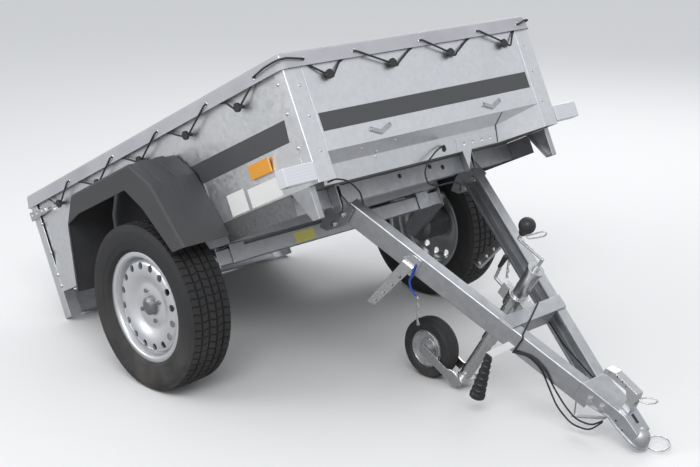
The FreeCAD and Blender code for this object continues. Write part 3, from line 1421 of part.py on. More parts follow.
def make_keepers():
    """V-shaped hooks low on the front wall that the catches hold."""
    body = new_body("catch_keepers", BOX)
    level = S.keeper_level
    for side in (-1, 1):
        middle_place = S.keeper_half * side
        width = S.keeper_width / 2
        thickness = S.keeper_width * 0.15
        tip_up = level + S.keeper_width * 0.17
        low_up = level - S.keeper_width * 0.03
        plate = [(middle_place - width, tip_up), (middle_place, low_up),
                 (middle_place + width, tip_up), (middle_place + width, tip_up - thickness),
                 (middle_place, low_up - thickness), (middle_place - width, tip_up - thickness)]
        pad_polygon(body, "YZ_Plane", S.seat_gap + S.keeper_depth / 2, plate, S.keeper_depth)
    tips = []
    for side in (-1, 1):
        for step in (-1, 1):
            across = S.keeper_half * side + (S.keeper_width / 2 - S.keeper_hole * 1.8) * step
            tips.append((across, level + S.keeper_width * 0.17 - S.keeper_width * 0.1,
                         S.keeper_hole))
    pocket_circles(body, "YZ_Plane", S.seat_gap, tips, S.keeper_depth * 3)


make_floor()
for side_name, side_sign in SIDES:
    make_side_wall(side_name, side_sign)
make_front_wall()
make_front_sill()
make_sill_plate()
make_posts()
make_members()
make_hinge_member()
make_stays()
make_axle()
make_axle_saddles()
for side_name, side_sign in SIDES:
    make_hinge_bracket(side_name, side_sign)
    make_arm(side_name, side_sign)
    make_tyre(side_name, side_sign)
    make_rim(side_name, side_sign)
    make_hub(side_name, side_sign)
    make_mudguard(side_name, side_sign)
    make_side_hooks(side_name, side_sign)
    make_beam(side_name, side_sign)
    make_hinge_plate(side_name, side_sign)
make_reflectors()
make_marker_lamps()
make_light_bar()
make_tail_lamps()
make_cover()
make_cover_flap()
make_end_hooks("front", 0)
make_end_hooks("tailgate", 1)
make_lacing()
make_tailgate()
make_gate_hinges()
make_gate_latches()
make_bridge()
make_coupling()
make_coupling_handle()
make_jockey_sleeve()
make_jockey_crank()
make_jockey_clamp()
make_jockey_leg()
make_jockey_arm()
make_jockey_wheel()
make_catches()
make_holder()
make_plug()
make_keepers()


def finish():
    doc.recompute()
    for thing in doc.Objects:
        if "Invalid" in thing.State or "Error" in thing.State:
            raise RuntimeError("%s failed: %s" % (thing.Label, thing.State))
    os.makedirs("parts", exist_ok=True)
    for part, placement in TREE:
        part.Placement = placement
    doc.recompute()
    for part, placement in TREE:
        shape = part.Shape
        if shape.isNull() or not shape.isValid():
            raise RuntimeError(part.Label + " has no valid shape")
        shape.exportStep("parts/%s.step" % part.Label)
        print("%-24s %2d solids %10.0f mm3" % (part.Label, len(shape.Solids), shape.Volume))


finish()
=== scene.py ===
# %% [markdown]
# This lesson dresses a small utility trailer. Its zinc-coated box is tipped back
# on its wheels, with a laced tarpaulin over it, and its V-shaped drawbar is folded
# down to the floor. The solid shapes come from the CAD model, which is loaded as a
# fixed frame. Blender adds what the CAD leaves plain: rounded sheet edges, tyre
# tread, bolts, cloth, cords and finishes.

# %% Load the frame
import json
import math

import bmesh
import bpy
from mathutils import Matrix, Vector, noise

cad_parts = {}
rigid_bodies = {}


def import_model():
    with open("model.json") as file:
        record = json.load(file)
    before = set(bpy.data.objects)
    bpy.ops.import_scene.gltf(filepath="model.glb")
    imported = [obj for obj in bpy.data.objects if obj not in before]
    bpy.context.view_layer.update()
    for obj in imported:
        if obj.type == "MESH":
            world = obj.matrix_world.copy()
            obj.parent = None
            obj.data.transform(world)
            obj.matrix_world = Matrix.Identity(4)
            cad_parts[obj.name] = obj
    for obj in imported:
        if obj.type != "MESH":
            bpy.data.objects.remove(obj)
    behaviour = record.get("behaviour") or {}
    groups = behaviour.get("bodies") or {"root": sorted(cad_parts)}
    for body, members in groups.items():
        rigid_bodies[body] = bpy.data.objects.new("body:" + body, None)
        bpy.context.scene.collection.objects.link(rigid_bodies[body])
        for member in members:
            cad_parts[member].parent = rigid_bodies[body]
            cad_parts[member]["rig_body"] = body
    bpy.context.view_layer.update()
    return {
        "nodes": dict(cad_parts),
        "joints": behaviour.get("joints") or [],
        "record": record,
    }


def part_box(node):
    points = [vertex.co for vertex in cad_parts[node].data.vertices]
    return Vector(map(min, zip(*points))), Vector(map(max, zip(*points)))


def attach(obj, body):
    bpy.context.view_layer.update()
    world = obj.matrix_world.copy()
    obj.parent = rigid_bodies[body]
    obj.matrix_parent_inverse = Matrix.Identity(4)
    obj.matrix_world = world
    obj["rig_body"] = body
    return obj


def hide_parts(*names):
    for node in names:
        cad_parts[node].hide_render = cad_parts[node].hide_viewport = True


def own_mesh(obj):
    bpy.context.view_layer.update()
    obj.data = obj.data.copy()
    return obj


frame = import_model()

print("frame loaded:", len(frame["nodes"]), "nodes")

# %% [markdown]
# Two parts of the trailer are tilted: the box leans back and the drawbar hangs
# down. Details are easiest to place in each part's own straight frame, so two
# matrices carry points from there into the scene. Their directions are read from
# the record: the load floor's normal, and the line that the jockey leg slides on.

# %% Frames of the box and the drawbar
record = frame["record"]
MOUNTS = {mount["name"]: mount for mount in record["mounts"]}
JOINTS = {joint["name"]: joint for joint in frame["joints"]}
MM = 0.001
SIDES = ((-1, "right"), (1, "left"))
SIDEWAYS = Vector((0, 1, 0))


def tilted_frame(origin, up):
    """A matrix whose Z is a tilted direction in the XZ plane and whose Y stays level."""
    up = Vector(up).normalized()
    turn = Matrix((SIDEWAYS.cross(up), SIDEWAYS, up)).transposed().to_4x4()
    return Matrix.Translation(origin) @ turn


FLOOR_MIDDLE = Vector((-800, 0, 12)) * MM
box_turn = tilted_frame((0, 0, 0), MOUNTS["load_floor"]["axis"])
box_origin = Vector(MOUNTS["load_floor"]["pos_m"]) - box_turn @ FLOOR_MIDDLE
BOX = Matrix.Translation(box_origin) @ box_turn
DRAWBAR = tilted_frame(JOINTS["drawbar_hinge"]["pos_m"], JOINTS["jockey_slide"]["axis"])
box_ahead = box_turn @ Vector((1, 0, 0))
box_up = box_turn @ Vector((0, 0, 1))
into_box = -box_ahead
bar_ahead = DRAWBAR.to_3x3() @ Vector((1, 0, 0))
bar_down = DRAWBAR.to_3x3() @ Vector((0, 0, -1))


def in_box(along, across, up):
    """A point given in millimetres in the box's own frame."""
    return BOX @ (Vector((along, across, up)) * MM)


def in_drawbar(along, across, up):
    """A point given in millimetres in the drawbar's own frame."""
    return DRAWBAR @ (Vector((along, across, up)) * MM)


def points_on(body, places):
    """Scene points from places given in millimetres in the frame of the box or drawbar."""
    to_point = {"box": in_box, "drawbar": in_drawbar}[body]
    return [to_point(*place) for place in places]


print("box front edge at", [round(v, 3) for v in in_box(0, 0, 0)])
print("hinge pin at", [round(v, 3) for v in in_drawbar(0, 0, 0)])

# %% [markdown]
# The camera stands ahead of the trailer's right front corner and looks slightly
# down. Its place was worked out from the box's straight edges, so it is written in
# the box's own frame: where the lens is, and which way ahead and right point.

# %% Camera
CAMERA_PLACE = in_box(2761, -2922, -289)
VIEW_AHEAD = (box_turn @ Vector((-0.750, 0.661, 0.035))).normalized()
VIEW_RIGHT = (box_turn @ Vector((0.621, 0.721, -0.307))).normalized()
LENS = 67.5

view_up = VIEW_RIGHT.cross(VIEW_AHEAD).normalized()
view_right = VIEW_AHEAD.cross(view_up).normalized()
camera_data = bpy.data.cameras.new("camera")
camera_data.lens = LENS
camera_data.sensor_width = 36
camera_data.clip_end = 60
camera = bpy.data.objects.new("camera", camera_data)
bpy.context.scene.collection.objects.link(camera)
turn = Matrix((view_right, view_up, -VIEW_AHEAD)).transposed().to_4x4()
camera.matrix_world = Matrix.Translation(CAMERA_PLACE) @ turn
bpy.context.scene.camera = camera
print("camera lens", camera_data.lens)

# %% [markdown]
# Materials, the world and the floor are small node trees. One function adds a node,
# one puts numbers, colours or links into its inputs, one blends two colours by a
# mask, and one starts a material with a Principled shader and its constant values.

# %% Helpers for node trees
def build_nodes(owner):
    """The node tree of a material or world, emptied."""
    owner.use_nodes = True
    tree = owner.node_tree
    tree.nodes.clear()
    return tree


def add(tree, kind, **settings):
    """Adds a node; settings are its own properties."""
    made = tree.nodes.new(kind)
    for name, value in settings.items():
        setattr(made, name, value)
    return made


def put(tree, value, socket):
    """Gives a socket a number, a colour or what another socket gives out."""
    if isinstance(value, (int, float)):
        socket.default_value = value
    elif isinstance(value, tuple):
        socket.default_value = (*value, 1)
    else:
        tree.links.new(value, socket)


def fill(tree, node, **values):
    """Puts values into named inputs of a node; an underscore stands for a blank."""
    for label, value in values.items():
        put(tree, value, node.inputs[label.replace("_", " ")])
    return node


def blend_colours(tree, mask, first, second):
    """A colour that goes from one to another by a mask; either may be a socket."""
    made = fill(tree, add(tree, "ShaderNodeMix", data_type="RGBA"), Factor=mask)
    for label, value in (("A", first), ("B", second)):
        put(tree, value, [s for s in made.inputs if s.name == label and s.type == "RGBA"][0])
    return [s for s in made.outputs if s.type == "RGBA"][0]


def start_finish(name, colour, metallic, roughness):
    """A material with a Principled shader, ready for its own texture."""
    finish = bpy.data.materials.new(name)
    tree = build_nodes(finish)
    surface = fill(tree, add(tree, "ShaderNodeBsdfPrincipled"), Base_Color=colour,
                   Metallic=metallic, Roughness=roughness)
    fill(tree, add(tree, "ShaderNodeOutputMaterial"), Surface=surface.outputs[0])
    return finish, tree, surface


print("node helpers ready")

# %% [markdown]
# The floor is a plain pale sheet. It is nearly white for the camera and greyer for
# the light that bounces off it, which the Light Path node tells apart, so that the
# trailer's underside stays dark. The light is broad and soft: a pale world and three
# area lamps, set so that a colour comes out about as it is written.

# %% Floor, world and lamps
FLOOR_SPAN = 40.0
FLOOR_SEEN = (0.90, 0.90, 0.90)
FLOOR_BOUNCE = (0.42, 0.42, 0.42)
WORLD_COLOUR = (0.84, 0.86, 0.89)
WORLD_STRENGTH = 0.78

floor_mesh = bpy.data.meshes.new("floor")
half = FLOOR_SPAN / 2
floor_mesh.from_pydata([(-half, -half, 0), (half, -half, 0), (half, half, 0), (-half, half, 0)],
                       [], [(0, 1, 2, 3)])
floor = bpy.data.objects.new("floor", floor_mesh)
bpy.context.scene.collection.objects.link(floor)
floor_paint, tree, surface = start_finish("studio_floor", FLOOR_SEEN, 0.0, 0.7)
path = add(tree, "ShaderNodeLightPath")
fill(tree, surface, Specular_IOR_Level=0.1,
     Base_Color=blend_colours(tree, path.outputs["Is Camera Ray"], FLOOR_BOUNCE, FLOOR_SEEN))
floor_mesh.materials.append(floor_paint)

world = bpy.data.worlds.new("studio")
bpy.context.scene.world = world
tree = build_nodes(world)
sky = fill(tree, add(tree, "ShaderNodeBackground"), Color=WORLD_COLOUR, Strength=WORLD_STRENGTH)
fill(tree, add(tree, "ShaderNodeOutputWorld"), Surface=sky.outputs[0])


def area_lamp(name, place, target, width, height, watts):
    data = bpy.data.lights.new(name, "AREA")
    data.shape = "RECTANGLE"
    data.size = width
    data.size_y = height
    data.energy = watts
    lamp = bpy.data.objects.new(name, data)
    bpy.context.scene.collection.objects.link(lamp)
    lamp.location = place
    aim = Vector(target) - Vector(place)
    lamp.rotation_euler = aim.to_track_quat("-Z", "Y").to_euler()


area_lamp("key_lamp", (3.2, -3.0, 4.2), (0, 0, 0.5), 3.2, 2.2, 120)
area_lamp("side_lamp", (-2.5, -4.2, 2.4), (0, 0, 0.5), 2.6, 1.8, 60)
area_lamp("back_lamp", (-1.5, 4.0, 3.6), (0, 0, 0.4), 3.0, 1.6, 60)
bpy.context.scene.view_settings.view_transform = "Standard"
print("floor, world and lamps ready")

# %% [markdown]
# Nothing on a trailer is one flat tone. Four effects are shared by many finishes, so each is a node
# group: the crystal pattern of hot zinc, fine moulding grain, the dust that settles in patches on
# lower parts, and a thread-like weave. A group gives only masks and heights; the shader stays in
# each material.

# %% Shared effects
def new_group(name, inputs, outputs):
    """An empty shader group with named number inputs and number outputs."""
    group = bpy.data.node_groups.new(name, "ShaderNodeTree")
    for label, value in inputs.items():
        socket = group.interface.new_socket(label, in_out="INPUT", socket_type="NodeSocketFloat")
        socket.default_value = value
    for label in outputs:
        group.interface.new_socket(label, in_out="OUTPUT", socket_type="NodeSocketFloat")
    return group, add(group, "NodeGroupInput"), add(group, "NodeGroupOutput")


def math_node(tree, operation, first, second, clamp=False):
    made = add(tree, "ShaderNodeMath", operation=operation, use_clamp=clamp)
    for socket, value in zip(made.inputs, (first, second)):
        put(tree, value, socket)
    return made.outputs[0]


def spread(tree, value, low, high, new_low, new_high):
    """Rescales a value from one range to another."""
    made = fill(tree, add(tree, "ShaderNodeMapRange"), Value=value, From_Min=low, From_Max=high,
                To_Min=new_low, To_Max=new_high)
    return made.outputs["Result"]


def object_space(tree):
    return add(tree, "ShaderNodeTexCoord").outputs["Object"]


def noise_of(tree, place, scale, detail=3.0, roughness=0.55):
    made = fill(tree, add(tree, "ShaderNodeTexNoise"), Vector=place, Scale=scale, Detail=detail,
                Roughness=roughness)
    return made.outputs["Fac"]


def zinc_crystal_group():
    group, given, out = new_group("zinc_crystals", {"Crystal Scale": 90.0, "Cloud Scale": 5.0},
                                  ("Tone", "Sheen", "Height"))
    place = object_space(group)
    cells = fill(group, add(group, "ShaderNodeTexVoronoi", feature="F1"), Vector=place,
                 Scale=given.outputs["Crystal Scale"])
    split = fill(group, add(group, "ShaderNodeSeparateColor"), Color=cells.outputs["Color"])
    cloud = noise_of(group, place, given.outputs["Cloud Scale"])

    def clouded(channel, share):
        own = math_node(group, "MULTIPLY", split.outputs[channel], share)
        return math_node(group, "ADD", own, math_node(group, "MULTIPLY", cloud, 1 - share))

    fill(group, out, Tone=clouded("Red", 0.55), Sheen=clouded("Green", 0.4),
         Height=split.outputs["Blue"])
    return group


def grain_group():
    group, given, out = new_group("moulding_grain", {"Grain Scale": 900.0}, ("Height", "Tone"))
    place = object_space(group)
    fill(group, out, Height=noise_of(group, place, given.outputs["Grain Scale"], 2.0),
         Tone=noise_of(group, place, 14.0, 4.0))
    return group


def dust_group():
    group, given, out = new_group("settled_dust", {"Reach": 0.5, "Amount": 0.5}, ("Mask",))
    place = object_space(group)
    split = fill(group, add(group, "ShaderNodeSeparateXYZ"), Vector=place)
    low = spread(group, split.outputs["Z"], 0.0, given.outputs["Reach"], 1.0, 0.0)
    patches = spread(group, noise_of(group, place, 9.0, 6.0, 0.65), 0.35, 0.75, 0.0, 1.0)
    mask = math_node(group, "MULTIPLY", low, patches, clamp=True)
    fill(group, out, Mask=math_node(group, "MULTIPLY", mask, given.outputs["Amount"], clamp=True))
    return group


def weave_group():
    group, given, out = new_group("coated_weave", {"Threads": 600.0}, ("Height", "Tone"))
    place = object_space(group)
    heights = [fill(group, add(group, "ShaderNodeTexWave", bands_direction=direction), Vector=place,
                    Scale=given.outputs["Threads"]).outputs["Fac"] for direction in ("X", "Y")]
    fill(group, out, Height=math_node(group, "MULTIPLY", *heights),
         Tone=noise_of(group, place, 6.0, 5.0, 0.6))
    return group


ZINC_CRYSTALS = zinc_crystal_group()
MOULDING_GRAIN = grain_group()
SETTLED_DUST = dust_group()
COATED_WEAVE = weave_group()
print("shared effects:", [group.name for group in bpy.data.node_groups])

# %% [markdown]
# A finish is a Principled shader with its own constant values, and one or two of
# the groups above that vary its colour, roughness and bump. The same short function
# starts each of them, so a recipe reads as a list of what is special about it.

# %% Helpers for finishes
def use_group(tree, group, **values):
    """Adds one of the shared groups with its inputs filled."""
    return fill(tree, add(tree, "ShaderNodeGroup", node_tree=group), **values)


def bump(tree, surface, height, strength, distance):
    made = fill(tree, add(tree, "ShaderNodeBump"), Strength=strength, Distance=distance,
                Height=height)
    fill(tree, surface, Normal=made.outputs["Normal"])


def lighter(colour, gain):
    """A colour raised by a factor and a little more, for the pale end of a blend."""
    return tuple(min(1.0, channel * gain + 0.004) for channel in colour)


def zinc_finish(name, dark, light, smooth, rough, crystal_scale, bump_strength):
    """Hot-dip or bright zinc: metal whose crystals differ in tone and sheen."""
    finish, tree, surface = start_finish(name, light, 1.0, rough)
    crystals = use_group(tree, ZINC_CRYSTALS, Crystal_Scale=crystal_scale)
    fill(tree, surface, Base_Color=blend_colours(tree, crystals.outputs["Tone"], dark, light),
         Roughness=spread(tree, crystals.outputs["Sheen"], 0.2, 0.8, smooth, rough))
    bump(tree, surface, crystals.outputs["Height"], bump_strength, 0.0003)
    return finish


def moulded_finish(name, colour, rough, grain_scale, grain_strength, dust=0.0, reach=0.5):
    """Moulded plastic or rubber: fine grain, slight cloudiness and a little dust."""
    finish, tree, surface = start_finish(name, colour, 0.0, rough)
    grain = use_group(tree, MOULDING_GRAIN, Grain_Scale=grain_scale)
    tone = blend_colours(tree, grain.outputs["Tone"], colour, lighter(colour, 1.35))
    if dust:
        settled = use_group(tree, SETTLED_DUST, Reach=reach, Amount=dust)
        tone = blend_colours(tree, settled.outputs["Mask"], tone, (0.20, 0.18, 0.16))
    fill(tree, surface, Base_Color=tone,
         Roughness=spread(tree, grain.outputs["Tone"], 0.3, 0.7, rough - 0.08, rough + 0.08))
    bump(tree, surface, grain.outputs["Height"], grain_strength, 0.0005)
    return finish


print("finish helpers ready")

# %% [markdown]
# The panels are smooth galvanised sheet with faint crystals. The chassis is dipped
# after welding, so it is duller and rougher. Catches, tube and crank have bright
# zinc plate, and the wheels have silver paint, which is a lacquer over flakes.

# %% Metal finishes
SHEET_ZINC = zinc_finish("zinc_sheet", (0.80, 0.81, 0.83), (0.90, 0.91, 0.93), 0.34, 0.46, 70, 0.05)
FRAME_ZINC = zinc_finish("zinc_frame", (0.50, 0.51, 0.53), (0.62, 0.63, 0.65), 0.36, 0.50, 55, 0.10)
BRIGHT_ZINC = zinc_finish("zinc_fittings", (0.66, 0.66, 0.67), (0.80, 0.80, 0.81), 0.18, 0.30, 160,
                          0.04)
# dark steel of the hubs, also painted as shade on the strips under the sides
DARK_STEEL_AND_SHADE = zinc_finish("hub_steel", (0.24, 0.24, 0.25), (0.36, 0.36, 0.37), 0.40, 0.55, 140, 0.15)


def silver_paint():
    finish, tree, surface = start_finish("wheel_steel", (0.80, 0.81, 0.83), 0.75, 0.34)
    flakes = use_group(tree, MOULDING_GRAIN, Grain_Scale=2600.0)
    tone = blend_colours(tree, flakes.outputs["Tone"], (0.74, 0.75, 0.77), (0.84, 0.85, 0.87))
    settled = use_group(tree, SETTLED_DUST, Reach=0.5, Amount=0.25)
    tone = blend_colours(tree, settled.outputs["Mask"], tone, (0.30, 0.28, 0.26))
    fill(tree, surface, Base_Color=tone, Coat_Weight=0.35, Coat_Roughness=0.12)
    bump(tree, surface, flakes.outputs["Height"], 0.04, 0.0002)
    return finish


SILVER_PAINT = silver_paint()
print("metal finishes ready")

# %% [markdown]
# The mudguards are dark polyethylene with a fine grain, and the tyres a duller
# black rubber with dust in the tread. The lamps are clear or tinted plastic: a
# glossy skin over moulded ribs, so their colour sits under a coat.

# %% Plastic, rubber and lens finishes
GUARD_PLASTIC = moulded_finish("guard_plastic", (0.045, 0.046, 0.050), 0.55, 1400, 0.22, 0.25, 0.9)
# black plastic, also painted as shade in the coupling's holes and gauge slot
BLACK_PLASTIC_AND_SHADE = moulded_finish("black_plastic", (0.022, 0.022, 0.024), 0.40, 1100, 0.10)
TYRE_RUBBER = moulded_finish("tyre_rubber", (0.020, 0.020, 0.021), 0.72, 700, 0.25, 0.45, 0.35)
JOCKEY_RUBBER = moulded_finish("jockey_rubber", (0.026, 0.026, 0.027), 0.62, 800, 0.20, 0.30, 0.2)
WHITE_PLASTIC = moulded_finish("white_plastic", (0.80, 0.80, 0.79), 0.35, 900, 0.05)


def lens_finish(name, colour, deep):
    finish, tree, surface = start_finish(name, colour, 0.0, 0.22)
    prisms = fill(tree, add(tree, "ShaderNodeTexVoronoi", feature="F1", distance="CHEBYCHEV"),
                  Vector=object_space(tree), Scale=260.0, Randomness=0.0)
    facet = spread(tree, prisms.outputs["Distance"], 0.0, 0.5, 0.0, 1.0)
    fill(tree, surface, Base_Color=blend_colours(tree, facet, colour, deep), Coat_Weight=1.0,
         Coat_Roughness=0.05)
    bump(tree, surface, facet, 0.15, 0.0005)
    return finish


AMBER_LENS = lens_finish("amber_lens", (0.95, 0.46, 0.01), (0.80, 0.32, 0.005))
WHITE_LENS = lens_finish("white_lens", (0.86, 0.87, 0.89), (0.66, 0.68, 0.72))
RED_LENS = lens_finish("red_lens", (0.62, 0.02, 0.015), (0.32, 0.01, 0.01))
print("plastic, rubber and lens finishes ready")

# %% [markdown]
# The cover is woven polyester coated with soft PVC: a faint thread pattern shows through a semi-matt
# skin. The cords have a braided sleeve, whose hollows are painted darker as shade, and the floor is
# a plywood sheet with a dark film face.

# %% Cloth, cord and board finishes
def tarpaulin_finish():
    finish, tree, surface = start_finish("cover_fabric", (0.44, 0.44, 0.47), 0.0, 0.42)
    weave = use_group(tree, COATED_WEAVE, Threads=420.0)
    tone = spread(tree, weave.outputs["Tone"], 0.3, 0.7, 0.0, 1.0)
    fill(tree, surface,
         Base_Color=blend_colours(tree, tone, (0.40, 0.40, 0.43), (0.49, 0.49, 0.52)),
         Roughness=spread(tree, weave.outputs["Tone"], 0.3, 0.7, 0.34, 0.5))
    bump(tree, surface, weave.outputs["Height"], 0.18, 0.0004)
    return finish


def braided_finish(name, colour, raised):
    finish, tree, surface = start_finish(name, colour, 0.0, 0.6)
    braid = use_group(tree, COATED_WEAVE, Threads=900.0)
    # the hollows between threads are painted darker as shade, and the raised threads lighter
    fill(tree, surface, Base_Color=blend_colours(tree, braid.outputs["Height"], colour, raised))
    bump(tree, surface, braid.outputs["Height"], 0.5, 0.0005)
    return finish


def board_finish():
    finish, tree, surface = start_finish("floor_board", (0.14, 0.135, 0.13), 0.0, 0.45)
    stretch = fill(tree, add(tree, "ShaderNodeMapping"), Vector=object_space(tree))
    stretch.inputs["Scale"].default_value = (4, 60, 60)
    grain = fill(tree, add(tree, "ShaderNodeTexNoise"), Vector=stretch.outputs["Vector"],
                 Scale=1.0, Detail=6.0)
    fill(tree, surface, Base_Color=blend_colours(tree, grain.outputs["Fac"], (0.10, 0.095, 0.09),
                                                 (0.19, 0.18, 0.17)))
    bump(tree, surface, grain.outputs["Fac"], 0.15, 0.0006)
    return finish


TARPAULIN = tarpaulin_finish()
BLACK_CORD = braided_finish("cord", (0.018, 0.018, 0.020), (0.06, 0.06, 0.065))
BLUE_CORD = braided_finish("blue_cord", (0.015, 0.07, 0.42), (0.05, 0.16, 0.62))
FLOOR_BOARD = board_finish()
print("cloth, cord and board finishes ready")

# %% [markdown]
# Most of the trailer is bent, welded or pressed metal whose shape the CAD already
# has. What it lacks is the roundness that every real edge has: a fold in sheet
# metal turns over a few millimetres, while a cut edge is only just broken. The
# helper below copies a CAD piece, joins its coplanar facets, and gives each edge
# as much rounding as its two faces have room for. A plain bevel of one width would
# either miss the folds or eat the thin edges.

# %% Rounded copies of CAD pieces
SLOT_OF = {part["node"]: part["material_slot"] for part in record["subparts"]}
FINISH_OF = {
    "zinc_sheet": SHEET_ZINC, "zinc_frame": FRAME_ZINC, "zinc_fittings": BRIGHT_ZINC,
    "hub_steel": DARK_STEEL_AND_SHADE, "wheel_steel": SILVER_PAINT, "guard_plastic": GUARD_PLASTIC,
    "black_plastic": BLACK_PLASTIC_AND_SHADE, "tyre_rubber": TYRE_RUBBER, "jockey_rubber": JOCKEY_RUBBER,
    "amber_lens": AMBER_LENS, "white_lens": WHITE_LENS, "red_lens": RED_LENS,
    "cover_fabric": TARPAULIN, "cord": BLACK_CORD, "floor_board": FLOOR_BOARD,
}
FOLD_ANGLE = 28
ROOM_SHARE = 0.35
GAINED_SURFACE = 1.01


def body_of(node):
    return frame["nodes"][node]["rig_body"]


def new_piece(name, mesh, body, finish):
    """Puts a finished mesh into the scene, riding on a body."""
    piece = bpy.data.objects.new(name, mesh)
    bpy.context.scene.collection.objects.link(piece)
    paint(mesh, finish)
    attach(piece, body)
    return piece


def paint(mesh, finish):
    """Makes a finish the only one of a mesh."""
    mesh.materials.clear()
    mesh.materials.append(finish)


def smooth_all(mesh):
    mesh.polygons.foreach_set("use_smooth", [True] * len(mesh.polygons))
    mesh.update()


def mesh_of(work, name, turn_out=True):
    """Ends a bmesh as a named mesh, with its faces turned outward unless told not to."""
    if turn_out:
        bmesh.ops.recalc_face_normals(work, faces=work.faces)
    mesh = bpy.data.meshes.new(name)
    work.to_mesh(mesh)
    work.free()
    return mesh


def baked(piece):
    """The mesh that an object's modifiers make of it; the modifiers go."""
    bpy.context.view_layer.update()
    seen = bpy.context.evaluated_depsgraph_get()
    mesh = bpy.data.meshes.new_from_object(piece.evaluated_get(seen))
    piece.modifiers.clear()
    return mesh


def sheet_faces(work, rows):
    """Faces between neighbouring rows of vertices, with a hole where one is None."""
    for first, second in zip(rows, rows[1:]):
        for low in range(len(first) - 1):
            quad = (first[low], second[low], second[low + 1], first[low + 1])
            if all(quad):
                work.faces.new(quad)


def ring_faces(work, first, second):
    """Faces between two closed rings with as many vertices each."""
    for step in range(len(first)):
        following = (step + 1) % len(first)
        work.faces.new((first[step], first[following], second[following], second[step]))


def circle(work, centre, axis, radius, level, count):
    """A ring of vertices round an axis; its radius and its level on the axis are in mm."""
    across = axis.orthogonal().normalized()
    upward = axis.cross(across).normalized()
    spokes = [across * math.cos(turn) + upward * math.sin(turn)
              for turn in (math.tau * step / count for step in range(count))]
    return [work.verts.new(centre + spoke * radius * MM + axis * level * MM) for spoke in spokes]


def face_breadth(face):
    """About how broad a face is across its longest edge."""
    longest = max(edge.calc_length() for edge in face.edges)
    return face.calc_area() / max(longest, 1e-6)


def weigh_edges(mesh, fold):
    """Writes on each edge how much of the fold radius its faces have room for."""
    if "custom_normal" in mesh.attributes:
        mesh.attributes.remove(mesh.attributes["custom_normal"])
    work = bmesh.new()
    work.from_mesh(mesh)
    bmesh.ops.remove_doubles(work, verts=work.verts, dist=0.00001)
    bmesh.ops.dissolve_limit(work, angle_limit=math.radians(0.5), verts=work.verts,
                             edges=work.edges)
    bmesh.ops.recalc_face_normals(work, faces=work.faces)
    weight = work.edges.layers.float.new("bevel_weight_edge")
    for edge in work.edges:
        if len(edge.link_faces) != 2 or edge.calc_face_angle(0) < math.radians(FOLD_ANGLE):
            continue
        room = min(face_breadth(face) for face in edge.link_faces)
        edge[weight] = min(1.0, ROOM_SHARE * room / fold)
    bmesh.ops.triangulate(work, faces=[face for face in work.faces if len(face.verts) > 4])
    work.to_mesh(mesh)
    work.free()


def round_over(piece, fold, segments):
    bevel = piece.modifiers.new("rounded_edges", "BEVEL")
    bevel.limit_method = "WEIGHT"
    bevel.width = fold
    bevel.segments = segments
    bevel.use_clamp_overlap = False


def mark_sharp(mesh, angle):
    """Smooth shading everywhere except over edges that turn by more than an angle."""
    work = bmesh.new()
    work.from_mesh(mesh)
    for face in work.faces:
        face.smooth = True
    for edge in work.edges:
        edge.smooth = edge.calc_face_angle(0) < math.radians(angle)
    work.to_mesh(mesh)
    work.free()


def surface_of(mesh):
    mesh.calc_loop_triangles()
    return sum(triangle.area for triangle in mesh.loop_triangles)


def settle(made):
    """Turns the bevels of several pieces into real mesh, in one evaluation. Rounding an
    edge takes surface away, so a piece that gained some has crossed corners, and it
    keeps its plain edges."""
    bpy.context.view_layer.update()
    seen = bpy.context.evaluated_depsgraph_get()
    fresh = [bpy.data.meshes.new_from_object(piece.evaluated_get(seen)) for piece in made]
    for piece, mesh in zip(made, fresh):
        piece.modifiers.clear()
        if surface_of(mesh) > GAINED_SURFACE * surface_of(piece.data):
            print("kept plain edges:", piece.name)
            mesh = piece.data
        piece.data = mesh
        mark_sharp(mesh, 50)
        even = piece.modifiers.new("even_normals", "WEIGHTED_NORMAL")
        even.keep_sharp = True


def dress(node, fold, segments, finish):
    """A rounded copy of a CAD piece, in its slot's finish if given none, shown in its place."""
    mesh = frame["nodes"][node].data.copy()
    weigh_edges(mesh, fold)
    piece = new_piece(node + "_shown", mesh, body_of(node),
                      finish or FINISH_OF[SLOT_OF[node]])
    round_over(piece, fold, segments)
    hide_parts(node)
    return piece


print("slots:", sorted(set(SLOT_OF.values())))

# %% [markdown]
# The box: a folded sheet on each side, panels at the ends, posts at the corners and
# channels under the floor, all galvanised. Their folds are rounded by about 3 mm.
# Below them, the square axle tube and its clamps are thicker, with rounder corners.

# %% Box, chassis and running gear
FOLD_NODES = {
    "wall_right": 2.5, "wall_left": 2.5, "wall_front": 2.5, "front_sill": 2.0, "sill_plate": 1.2,
    "corner_posts_front": 3.0, "corner_posts_rear": 3.0, "floor_members": 4.0,
    "hinge_member": 3.0, "side_stays": 2.0, "axle_tube": 5.0, "axle_saddles": 2.5,
    "hinge_bracket_right": 1.2, "hinge_bracket_left": 1.2, "axle_arm_right": 3.0,
    "axle_arm_left": 3.0, "light_bar": 2.5, "tailgate": 2.5, "tailgate_hinges": 1.2,
    "tailgate_latches": 2.5, "catch_keepers": 1.2, "floor": 1.0, "side_reflectors": 1.5,
    "marker_lamps": 4.0, "tail_lamps": 5.0, "mudguard_right": 2.0, "mudguard_left": 2.0,
}
OTHER_FINISH = {"corner_posts_front": SHEET_ZINC, "corner_posts_rear": SHEET_ZINC,
                "plug_holder": WHITE_PLASTIC}
WIDE_FOLD = 2.0


def dress_all(folds):
    """Dresses nodes by a table of their fold radii in mm; wide folds get a third segment."""
    settle([dress(node, fold * MM, segments=3 if fold > WIDE_FOLD else 2,
                  finish=OTHER_FINISH.get(node)) for node, fold in folds.items()])


dress_all(FOLD_NODES)
print("box and chassis pieces:", len(FOLD_NODES))

# %% [markdown]
# The drawbar is a V of two lipped channels, hinged under the box's front and joined
# by a bridge and by the coupling at the nose. The coupling is pressed sheet, so its
# edges are rounder than those of the flat plates and catches.

